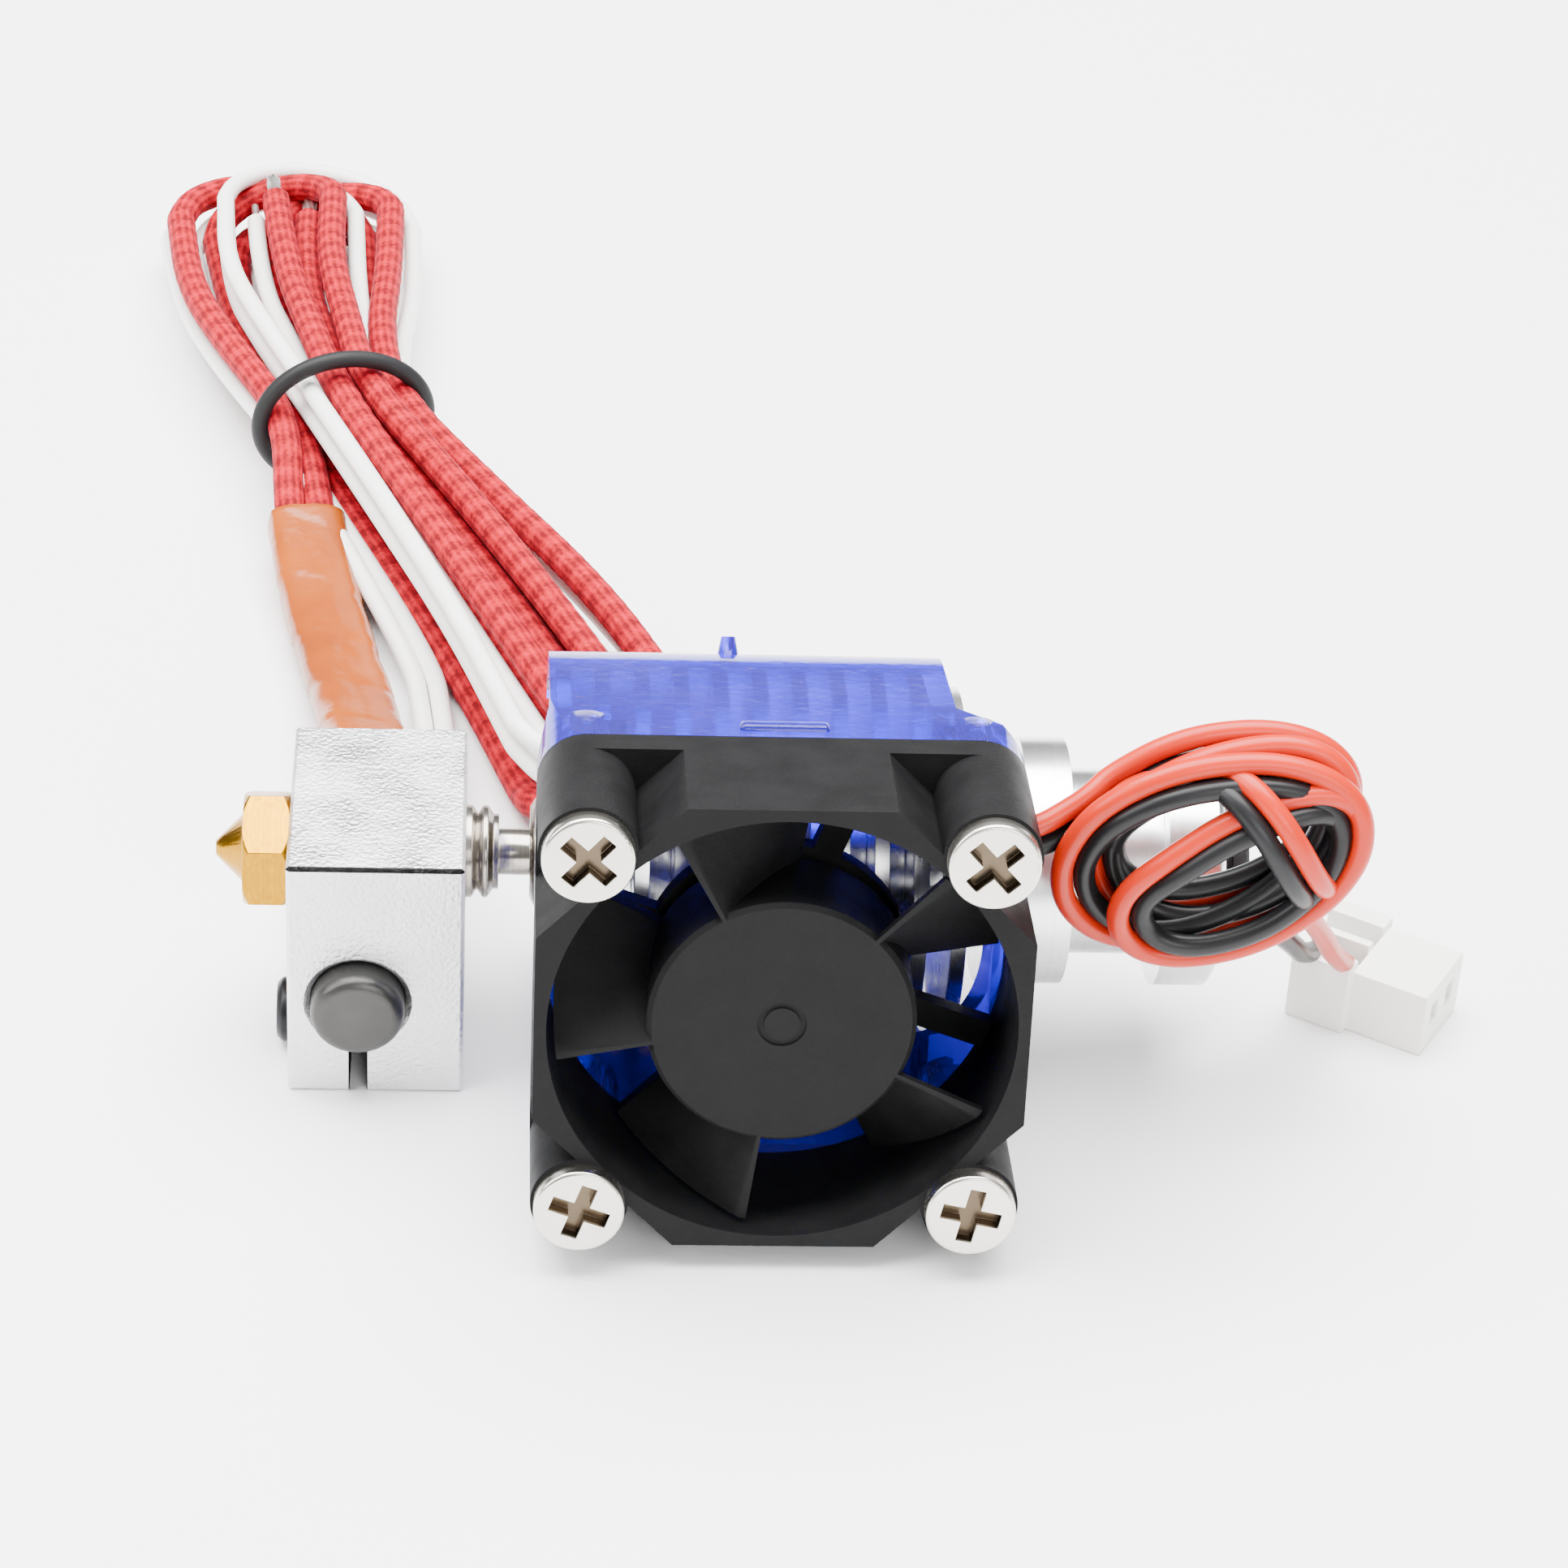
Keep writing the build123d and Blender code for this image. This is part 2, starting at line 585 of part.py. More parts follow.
def duct_end_face():
    """An end plate in (y, z): from the flange back to the fins, half a wall into each side."""
    half = FAN_SIZE / 2 - DUCT_WALL / 2
    meet = math.radians(DUCT_PLATE_ANGLE)
    skin_r = DUCT_R - DUCT_WALL / 2
    rim = ThreePointArc(
        on_circle(DUCT_BORE_R, meet), (-DUCT_BORE_R, 0), on_circle(DUCT_BORE_R, -meet)
    )
    edges = [Line((FAN_BACK, -half), (FAN_BACK, half)), Line((FAN_BACK, half), on_circle(skin_r, meet))]
    edges += [Line(on_circle(skin_r, meet), rim @ 0), rim]
    edges += [Line(rim @ 1, on_circle(skin_r, -meet)), Line(on_circle(skin_r, -meet), (FAN_BACK, -half))]
    return make_face(edges)


def along_x(flat, start, end):
    """Extrudes an outline drawn in (y, z) along X."""
    plane = Plane(origin=(start, 0, 0), x_dir=(0, 1, 0), z_dir=(1, 0, 0))
    return extrude(plane * flat, end - start)


def plan_side(edge_x, body_x, inset):
    """One side of the duct seen from above, as (x, y) points from the flange to the rear."""
    return [
        (edge_x + inset, FAN_BACK - 1),
        (edge_x + inset, FAN_BACK + DUCT_FLANGE),
        (body_x + inset, DUCT_SLANT_END),
        (body_x + inset, 2 * DUCT_R),
    ]


def plan_prism(first_side, second_side):
    outline = Polyline(*first_side, *reversed(second_side), close=True)
    return extrude(Pos(0, 0, -FAN_SIZE) * make_face(outline), 2 * FAN_SIZE)


def make_duct():
    left = FAN_X - FAN_SIZE / 2
    right = FAN_X + FAN_SIZE / 2
    long_x = (left - 5, right + 5)
    left_side = plan_side(left, DUCT_X[0], 0)
    right_side = plan_side(right, DUCT_X[1], 0)
    corner_mask = extrude(face_at(FAN_BACK, RectangleRounded(FAN_SIZE, FAN_SIZE, FAN_CORNER_R)), 3 * DUCT_R)
    whole = plan_prism(left_side, right_side) & corner_mask
    upper = along_x(duct_wall_face(), *long_x)
    end_plate = along_x(duct_end_face(), *long_x)
    left_plate = end_plate & plan_prism(left_side, plan_side(left, DUCT_X[0], DUCT_WALL))
    right_plate = end_plate & plan_prism(plan_side(right, DUCT_X[1], -DUCT_WALL), right_side)
    duct = upper + mirror(upper, Plane.XY) + left_plate + right_plate
    for x, z in corner_places():
        duct += rod_y(DUCT_BOSS_R, FAN_BACK, FAN_SCREW_END, x, z)
    duct = duct & whole
    for x, z in corner_places():
        duct -= rod_y(FAN_SCREW_R, FAN_BACK - 1, FAN_SCREW_END + 1, x, z)
    return duct


save(leaned(make_duct()), "fan_duct")


# --- leads ---
def corner_radii(points):
    """The largest arc that each corner's two runs allow: 0.45 of the shorter run."""
    radii = []
    for before, here, after in zip(points, points[1:], points[2:]):
        into = Vector(*here) - Vector(*before)
        out = Vector(*after) - Vector(*here)
        turn = math.radians(into.get_angle(out))
        radii.append(0.45 * min(into.length, out.length) / math.tan(turn / 2))
    return radii


def cord_path(points):
    return FilletPolyline(*points, radius=corner_radii(points))


def cord_tube(name, points, diameter):
    """A round lead: straight runs joined by tangent arcs."""
    path = cord_path(points)
    section = Plane(origin=path @ 0, z_dir=path % 0) * Circle(diameter / 2)
    tube = sweep(section, path=path)
    expected = math.pi * diameter**2 / 4 * path.length
    radii = " ".join(f"{radius:.1f}" for radius in corner_radii(points))
    print(name, f"length {path.length:.1f} volume ratio {tube.volume / expected:.4f} radii", radii)
    save(tube, name)


def side_step(points, across, up=0.0):
    """The same route shifted sideways in X and up in Z."""
    return [(x + across, y, z + up) for x, y, z in points]


HEATER_ROUTE = [
    (-48.2, 10.7, -6.3),
    (-48.2, 17.0, -6.3),
    (-48.7, 25.0, -8.8),
    (-49.9, 34.0, -10.9),
    (-51.7, 43.0, -11.5),
    (-53.3, 51.0, -11.1),
    (-54.3, 58.0, -9.8),
]
HEATER_SPREAD = 1.2
cord_tube("heater_lead_a", side_step(HEATER_ROUTE, -HEATER_SPREAD), HEATER_LEAD_D)
cord_tube("heater_lead_b", side_step(HEATER_ROUTE, HEATER_SPREAD), HEATER_LEAD_D)

SENSOR_ROUTE = [
    (-43.8, 8.1, -3.4),
    (-43.8, 13.0, -3.4),
    (-43.5, 19.5, -6.8),
    (-43.7, 26.5, -10.6),
    (-44.2, 34.0, -12.2),
    (-45.0, 40.5, -11.7),
]
SENSOR_SPREAD = 0.75
cord_tube("thermistor_lead_a", side_step(SENSOR_ROUTE, -SENSOR_SPREAD), SENSOR_LEAD_D)
cord_tube("thermistor_lead_b", side_step(SENSOR_ROUTE, SENSOR_SPREAD), SENSOR_LEAD_D)

wrap_path = cord_path(HEATER_ROUTE[1:])
wrap_plane = Plane(origin=wrap_path @ 0, x_dir=(1, 0, 0), z_dir=wrap_path % 0)
wrap_inside = RectangleRounded(*WRAP_INSIDE, WRAP_CORNER_R)
wrap_size = (WRAP_INSIDE[0] + 2 * WRAP_WALL, WRAP_INSIDE[1] + 2 * WRAP_WALL)
wrap_outside = RectangleRounded(*wrap_size, WRAP_CORNER_R + WRAP_WALL)
lead_wrap = sweep(wrap_plane * (wrap_outside - wrap_inside), path=wrap_path)
save(lead_wrap, "lead_wrap")

# Hank of the heater and thermistor leads: ellipses along its length, drawn in at the band.
# Each row is centre x, centre y, centre height above the floor, half width, half height, heading.
HANK_SECTIONS = [
    (-33.2, 20.0, 3.6, 6.2, 2.6, 21.0),
    (-34.6, 26.0, 4.8, 9.6, 4.6, 21.0),
    (-40.2, 40.0, 5.1, 8.4, 4.9, 20.0),
    (-51.7, 68.0, 6.2, 5.9, 4.6, 14.0),
    (-55.6, 90.0, 5.1, 9.8, 4.8, 6.0),
    (-57.2, 106.0, 4.7, 10.6, 4.4, 5.0),
    (-57.6, 112.5, 3.6, 7.0, 2.6, 5.0),
]
BAND_SECTION = 3
BAND_THICK = 1.3


def hank_plane(row):
    x, y, height, half_width, half_height, heading = row
    turn = math.radians(heading)
    along = (-math.sin(turn), math.cos(turn), 0)
    across = (math.cos(turn), math.sin(turn), 0)
    return Plane(origin=(x, y, FLOOR + height), x_dir=across, z_dir=along)


rings = [hank_plane(row) * Ellipse(row[3], row[4]) for row in HANK_SECTIONS]
HANK_ROOM = ((-80.0, 0.0), (0.0, 130.0), (FLOOR, 20.0))
above_table = block_between(*HANK_ROOM)
save(loft(rings) & above_table, "lead_hank")

band_row = HANK_SECTIONS[BAND_SECTION]
band_plane = hank_plane(band_row)
band_middle = band_plane * Ellipse(band_row[3] + BAND_THICK / 2, band_row[4] + BAND_THICK / 2)
band_path = band_middle.edges()[0]
band_start = Plane(origin=band_path @ 0, z_dir=band_path % 0)
band = sweep(band_start * Circle(BAND_THICK / 2), path=band_path)
print("tie_band volume", band.volume)
save(band, "tie_band")

# Fan leads: out of the frame's notch, a tangled hank beside the groove, then down to the plug.
FAN_HANK_CENTRE = (4.3, -13.2, 10.0)
FAN_HANK_HALF = (10.6, 8.3)
FAN_HANK_THICK = 6.6
FAN_HANK_TILT = 22.0
fan_hank_plane = Plane(origin=FAN_HANK_CENTRE, x_dir=(1, 0, 0), z_dir=(0, 1, 0))
fan_hank_face = fan_hank_plane * (Rot(0, 0, -FAN_HANK_TILT) * Ellipse(*FAN_HANK_HALF))
fan_hank = extrude(fan_hank_face, FAN_HANK_THICK / 2, both=True)
fan_hank = chamfer(fan_hank.edges().group_by(Axis.Y)[0], 1.2)
fan_hank = chamfer(fan_hank.edges().group_by(Axis.Y)[-1], 1.2)
save(fan_hank, "fan_lead_hank")

EXIT_RED = [(-7.9, -13.3, 11.5), (-6.6, -13.2, 11.7), (-5.0, -12.6, 12.4), (-3.4, -12.2, 13.4)]
EXIT_BLACK = [(-7.9, -13.0, 10.0), (-6.6, -13.0, 10.0), (-5.0, -12.7, 10.6), (-3.5, -12.4, 11.8)]
cord_tube("fan_lead_red", EXIT_RED, FAN_LEAD_D)
cord_tube("fan_lead_black", EXIT_BLACK, FAN_LEAD_D)

PLUG_CENTRE = (19.4, 2.2)
PLUG_TURN = -32.0
PLUG_SIZE = (9.6, 7.4, 5.2)
PLUG_REAR = 4.2
PLUG_STEP = (0.6, 0.4)
PLUG_FLOOR = 0.9
PIN_OFFSET = 1.25
POCKET_HALF = 0.9
PIN_HALF = 0.6
PIN_HEIGHT = 0.8
TERMINAL_X = (-0.5, 4.0)
TERMINAL_HALF = (0.5, 0.7)
TAIL_RED = [(9.6, -11.6, 4.6), (11.6, -8.8, 2.4), (13.6, -5.4, -1.6), (15.4, -2.0, -6.0), (17.2, 1.4, -9.2)]
TAIL_BLACK = [(7.8, -11.4, 3.6), (10.0, -8.0, 0.4), (12.2, -4.0, -3.6), (13.8, 0.0, -7.4), (15.8, 3.8, -9.6)]
cord_tube("fan_tail_red", TAIL_RED, FAN_LEAD_D)
cord_tube("fan_tail_black", TAIL_BLACK, FAN_LEAD_D)


def at_plug(shape):
    """Places a shape drawn about the plug's own middle, its mating face towards +X."""
    return Pos(PLUG_CENTRE[0], PLUG_CENTRE[1], FLOOR + PLUG_SIZE[2] / 2) * Rot(Z=PLUG_TURN) * shape


def make_plug():
    length, width, height = PLUG_SIZE
    half = length / 2
    side_y = width / 2 - PLUG_STEP[0]
    body = block_between((-half, half), (-side_y, side_y), (-height / 2, height / 2 - PLUG_STEP[1]))
    rear_x = (-half, -half + PLUG_REAR)
    body += block_between(rear_x, (-width / 2, width / 2), (-height / 2, height / 2))
    for side in (-1, 1):
        middle = side * PIN_OFFSET
        pocket_y = (middle - POCKET_HALF, middle + POCKET_HALF)
        body -= block_between((-half - 1, rear_x[1]), pocket_y, (-height / 2 + PLUG_FLOOR, height))
        pin_y = (middle - PIN_HALF, middle + PIN_HALF)
        body -= block_between((-half, half + 1), pin_y, (-PIN_HEIGHT, PIN_HEIGHT))
    return body


save(at_plug(make_plug()), "connector_housing")

terminals = []
for side in (-1, 1):
    middle = side * PIN_OFFSET
    terminal_y = (middle - TERMINAL_HALF[0], middle + TERMINAL_HALF[0])
    terminals.append(at_plug(block_between(TERMINAL_X, terminal_y, (-TERMINAL_HALF[1], TERMINAL_HALF[1]))))
save(Compound([solid for item in terminals for solid in item.solids()]), "connector_terminals")
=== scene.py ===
import math

import bpy
from mathutils import Matrix, Vector, noise


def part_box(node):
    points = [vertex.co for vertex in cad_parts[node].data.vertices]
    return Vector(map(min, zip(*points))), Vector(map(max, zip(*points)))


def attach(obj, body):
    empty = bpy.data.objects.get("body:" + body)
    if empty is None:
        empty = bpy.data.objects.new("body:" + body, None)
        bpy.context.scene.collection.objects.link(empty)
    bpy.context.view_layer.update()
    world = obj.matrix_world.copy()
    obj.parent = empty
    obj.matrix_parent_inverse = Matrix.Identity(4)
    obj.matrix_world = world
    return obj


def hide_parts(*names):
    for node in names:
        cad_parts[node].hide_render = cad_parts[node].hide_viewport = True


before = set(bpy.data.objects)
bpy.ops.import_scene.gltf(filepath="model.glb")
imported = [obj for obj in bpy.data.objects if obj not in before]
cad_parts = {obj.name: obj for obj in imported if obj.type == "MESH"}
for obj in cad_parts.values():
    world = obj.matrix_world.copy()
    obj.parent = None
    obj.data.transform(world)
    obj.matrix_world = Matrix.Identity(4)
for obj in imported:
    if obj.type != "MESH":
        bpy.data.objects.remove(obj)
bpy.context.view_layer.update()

# Camera: a close, slightly long-lens view from the fan's side, looking down at the hotend
# where it lies. It stands a little towards the nozzle end and is tipped a few degrees.
VIEW_AIM = (-0.0214, -0.0021, 0.00705)
VIEW_DISTANCE = 0.2961
VIEW_AZIMUTH = math.radians(-4.44)
VIEW_ELEVATION = math.radians(34.11)
VIEW_ROLL = math.radians(3.44)
VIEW_FIELD = math.radians(19.09)

camera_data = bpy.data.cameras.new("camera")
camera_data.sensor_fit = "HORIZONTAL"
camera_data.angle = VIEW_FIELD
camera_data.clip_start = 0.01
camera_turn = (
    Matrix.Rotation(VIEW_AZIMUTH, 4, "Z")
    @ Matrix.Rotation(math.pi / 2 - VIEW_ELEVATION, 4, "X")
    @ Matrix.Rotation(VIEW_ROLL, 4, "Z")
)
camera = bpy.data.objects.new("camera", camera_data)
camera.matrix_world = Matrix.Translation(VIEW_AIM) @ camera_turn @ Matrix.Translation((0, 0, VIEW_DISTANCE))
bpy.context.scene.collection.objects.link(camera)
bpy.context.scene.camera = camera

# Table and studio light: a white sweep under a big overhead soft box, with a window-like
# box at the left and a weak fill from the front, so shadows stay short and soft.
FLOOR_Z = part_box("heater_block")[0].z


def start_fresh():
    """Leaves edit mode and selects nothing, so the next operator acts on its own piece."""
    if bpy.context.object and bpy.context.object.mode != "OBJECT":
        bpy.ops.object.mode_set(mode="OBJECT")
    bpy.ops.object.select_all(action="DESELECT")


def new_material(name, colour, roughness, metallic=0.0):
    """A Principled material and the handles that a section needs to add its own pattern."""
    material = bpy.data.materials.new(name)
    material.use_nodes = True
    nodes, links = material.node_tree.nodes, material.node_tree.links
    shader = nodes["Principled BSDF"]
    shader.inputs["Base Color"].default_value = (*colour, 1)
    shader.inputs["Roughness"].default_value = roughness
    shader.inputs["Metallic"].default_value = metallic
    return material, nodes, links, shader


TABLE_SIZE = 3.0
TABLE_Y = 0.4
start_fresh()
bpy.ops.mesh.primitive_plane_add(size=TABLE_SIZE, location=(0, TABLE_Y, FLOOR_Z))
floor = bpy.context.object
floor.name = "floor"
floor_material, _, _, _ = new_material("white_table", (0.93, 0.93, 0.93), 0.55)
floor.data.materials.append(floor_material)

SKY_AT_HORIZON = 0.26
SKY_ABOVE = 0.72
SKY_FULL_AT = 0.7
world = bpy.data.worlds.new("studio")
world.use_nodes = True
sky = world.node_tree.nodes["Background"]
sky.inputs["Color"].default_value = (1.0, 1.0, 1.0, 1)
direction = world.node_tree.nodes.new("ShaderNodeTexCoord")
height = world.node_tree.nodes.new("ShaderNodeSeparateXYZ")
world.node_tree.links.new(direction.outputs["Generated"], height.inputs[0])
brighter_above = world.node_tree.nodes.new("ShaderNodeMapRange")
brighter_above.inputs["From Max"].default_value = SKY_FULL_AT
brighter_above.inputs["To Min"].default_value = SKY_AT_HORIZON
brighter_above.inputs["To Max"].default_value = SKY_ABOVE
world.node_tree.links.new(height.outputs["Z"], brighter_above.inputs["Value"])
world.node_tree.links.new(brighter_above.outputs["Result"], sky.inputs["Strength"])
bpy.context.scene.world = world

SOFT_BOXES = (
    # name, place, aimed at, width, height, watts
    ("overhead_box", (-0.05, 0.12, 0.60), (-0.03, 0.02, 0.0), 0.80, 0.60, 30.0),
    ("left_box", (-0.55, -0.15, 0.35), (-0.03, 0.0, 0.0), 0.40, 0.40, 5.0),
    ("front_fill", (0.20, -0.60, 0.30), (-0.02, 0.0, 0.0), 0.45, 0.30, 4.0),
)
for name, place, aim, width, height, watts in SOFT_BOXES:
    lamp_data = bpy.data.lights.new(name, "AREA")
    lamp_data.shape = "RECTANGLE"
    lamp_data.size = width
    lamp_data.size_y = height
    lamp_data.energy = watts
    lamp = bpy.data.objects.new(name, lamp_data)
    lamp.location = place
    lamp.rotation_euler = (Vector(aim) - Vector(place)).to_track_quat("-Z", "Y").to_euler()
    bpy.context.scene.collection.objects.link(lamp)

# Heater leads: two stranded wires in a red glass-fibre braid. They leave the cement end of the
# cartridge side by side, run back to the hank, pass under its band and are folded up and down
# in it, ending in bare tips at the far fold.
MM = 0.001
HEATER_LEAD_D = 2.3
SENSOR_LEAD_D = 1.45
HEATER_SPREAD = 1.2
HEATER_ROUTE = [
    (-48.2, 10.7, -6.3),
    (-48.2, 17.0, -6.3),
    (-48.7, 25.0, -8.8),
    (-49.9, 34.0, -10.9),
    (-51.7, 43.0, -11.5),
    (-53.3, 51.0, -11.1),
    (-54.3, 58.0, -9.8),
]
# The hank along its length: centre x, centre y, height above the table, half width, half
# height and heading in degrees from +Y. The fourth row is the waist, inside the band.
HANK_ROWS = [
    (-33.8, 26.0, 4.7, 11.2, 4.4, 21.0),
    (-39.0, 40.0, 5.0, 10.2, 4.7, 22.0),
    (-45.6, 54.6, 5.5, 8.0, 4.7, 21.0),
    (-51.7, 68.0, 6.2, 5.9, 4.6, 14.0),
    (-54.4, 79.0, 5.7, 8.2, 4.7, 9.0),
    (-56.4, 90.0, 5.0, 11.0, 4.8, 6.0),
    (-57.2, 102.0, 4.7, 12.2, 4.5, 5.0),
]
WAIST = 3
LAST_ROW = len(HANK_ROWS) - 1
# Where each pass of a lead lies in the waist, across and up from its middle. Even passes run
# away from the block and odd ones come back.
HEATER_A_PASSES = [(-4.4, 0.9), (2.9, -1.2), (-0.7, -1.2), (4.0, 1.6), (-0.6, 2.9)]
HEATER_B_PASSES = [(-3.0, -1.2), (1.7, 3.0), (-2.2, -3.3), (3.4, -2.6), (0.7, 0.9)]
HEATER_FOLD = 4.2
FOLD_STEPS = 6
FOLD_RUN_IN = 0.6
FOLD_MOST_SPREAD = math.radians(50)
STRAND_DRIFT = 0.35


def hank_point(row_number, across, up, beyond=0.0):
    """A point of the hank at one of its rows, with beyond millimetres added along its heading."""
    x, y, height, half_width, half_height, heading = HANK_ROWS[row_number]
    turn = math.radians(heading)
    waist_width, waist_height = HANK_ROWS[WAIST][3:5]
    side = across / waist_width * half_width
    lift = up / waist_height * half_height
    return (
        x + side * math.cos(turn) - beyond * math.sin(turn),
        y + side * math.sin(turn) + beyond * math.cos(turn),
        FLOOR_Z / MM + height + lift,
    )


def fold_round(row_number, here, there, sense, roundness):
    """Control points of the fold between two passes, a bulb no tighter than roundness."""
    waist_width = HANK_ROWS[WAIST][3]
    scale = HANK_ROWS[row_number][3] / waist_width
    start, end = here[0] * scale, there[0] * scale
    middle, half_gap = (start + end) / 2, abs(end - start) / 2
    side = 1 if end > start else -1
    radius = max(half_gap, roundness)
    lead_in = math.acos(min(1.0, half_gap / radius))
    lead_in = min(lead_in, FOLD_MOST_SPREAD)
    centre = FOLD_RUN_IN + radius * math.sin(lead_in)
    points = []
    for step in range(FOLD_STEPS + 1):
        share = step / FOLD_STEPS
        angle = -lead_in + (math.pi + 2 * lead_in) * share
        across = (middle - side * radius * math.cos(angle)) / scale
        up = here[1] + (there[1] - here[1]) * share
        points.append(hank_point(row_number, across, up, sense * (centre + radius * math.sin(angle))))
    return points


def hank_route(passes, stray, roundness):
    """Control points of a lead through the hank: pass after pass, with a fold at each end."""
    points = []
    for number, (across, up) in enumerate(passes):
        outward = number % 2 == 0
        first_row = WAIST if number == 0 else 0
        rows = range(first_row, LAST_ROW + 1)
        for row in rows if outward else reversed(rows):
            drift = 0.0
            if row not in (0, WAIST, LAST_ROW):
                drift = STRAND_DRIFT * math.sin(stray + 2.3 * number + 1.1 * row)
            points.append(hank_point(row, across + drift, up - 0.5 * drift))
        if number < len(passes) - 1:
            end_row, sense = (LAST_ROW, 1) if outward else (0, -1)
            points += fold_round(end_row, passes[number], passes[number + 1], sense, roundness)
    return points


def side_step(points, across):
    """The same route moved sideways, for one lead of a pair."""
    return [(x + across, y, z) for x, y, z in points]


def lead_curve(name, points, diameter, bevel=True):
    """A lead as one smooth NURBS line through its route, given in millimetres."""
    curve = bpy.data.curves.new(name, "CURVE")
    curve.dimensions = "3D"
    spline = curve.splines.new("NURBS")
    spline.points.add(len(points) - 1)
    for spot, (x, y, z) in zip(spline.points, points):
        spot.co = (x * MM, y * MM, z * MM, 1)
    spline.order_u = 3
    spline.use_endpoint_u = True
    spline.resolution_u = 8
    if bevel:
        curve.bevel_depth = diameter / 2 * MM
        curve.bevel_resolution = 5
        curve.use_fill_caps = True
    lead = bpy.data.objects.new(name, curve)
    bpy.context.scene.collection.objects.link(lead)
    return lead


def smooth_line(points):
    """The route's NURBS line as evenly close points, in metres."""
    guide = lead_curve("guide", points, 0, bevel=False)
    bpy.context.view_layer.update()
    mesh = bpy.data.meshes.new_from_object(guide)
    line = [vertex.co.copy() for vertex in mesh.vertices]
    bpy.data.objects.remove(guide)
    bpy.data.meshes.remove(mesh)
    return line


def even_line(line, step):
    """The same line with a point every step metres."""
    total = sum((b - a).length for a, b in zip(line, line[1:]))
    count = max(2, round(total / step))
    wanted = [total * k / count for k in range(count + 1)]
    even, travelled, segment = [], 0.0, 0
    for distance in wanted:
        while segment < len(line) - 2:
            reach = (line[segment + 1] - line[segment]).length
            if travelled + reach >= distance:
                break
            travelled += reach
            segment += 1
        span = line[segment + 1] - line[segment]
        even.append(line[segment] + span * min(1.0, (distance - travelled) / max(span.length, 1e-9)))
    return even


def take_up(piece):
    """Makes the piece the only one selected, and the active one."""
    start_fresh()
    piece.select_set(True)
    bpy.context.view_layer.objects.active = piece


def tube_along(name, line, radius_at, sides):
    """A closed tube round a line, with radius_at(distance, angle), and a UV map in millimetres."""
    vertices, faces, coordinates = [], [], []
    side = Vector((1, 0, 0))
    distance = 0.0
    for k, place in enumerate(line):
        before, after = line[max(k - 1, 0)], line[min(k + 1, len(line) - 1)]
        along = (after - before).normalized()
        side = (side - along * side.dot(along)).normalized()
        up = along.cross(side)
        distance += (place - before).length
        for j in range(sides):
            angle = 2 * math.pi * j / sides
            radius = radius_at(distance, angle)
            vertices.append(place + side * (radius * math.cos(angle)) + up * (radius * math.sin(angle)))
            coordinates.append(distance / MM)
    for k in range(len(line) - 1):
        for j in range(sides):
            a, b = k * sides + j, k * sides + (j + 1) % sides
            faces.append((a, b, b + sides, a + sides))
    faces.append(tuple(reversed(range(sides))))
    faces.append(tuple(range((len(line) - 1) * sides, len(line) * sides)))
    mesh = bpy.data.meshes.new(name)
    mesh.from_pydata(vertices, [], faces)
    layer = mesh.uv_layers.new(name="UVMap")
    for face in mesh.polygons:
        corners = list(face.loop_indices)
        columns = [mesh.loops[c].vertex_index % sides for c in corners]
        wraps = max(columns) - min(columns) > sides / 2 and len(corners) == 4
        for corner, column in zip(corners, columns):
            share = (column + (sides if wraps and column < sides / 2 else 0)) / sides
            layer.data[corner].uv = (coordinates[mesh.loops[corner].vertex_index], share)
    mesh.update()
    tube = bpy.data.objects.new(name, mesh)
    bpy.context.scene.collection.objects.link(tube)
    take_up(tube)
    bpy.ops.object.shade_smooth()
    return tube


BRAID_PITCH = 4.4 * MM
BRAID_STRANDS = 6
BRAID_RELIEF = 0.05
BRAID_CROWN = 1.4
BRAID_STEP = 0.30 * MM
BRAID_SIDES = 30


def braid_radius(distance, angle):
    """Crossing strands stand a little proud of the sleeve, over and under by turns."""
    right = math.sin(BRAID_STRANDS * angle + 2 * math.pi * distance / BRAID_PITCH)
    left = math.sin(BRAID_STRANDS * angle - 2 * math.pi * distance / BRAID_PITCH)
    crown = BRAID_CROWN * abs(right * left) ** 0.5
    return HEATER_LEAD_D / 2 * MM * (1 - BRAID_RELIEF + BRAID_RELIEF * crown)


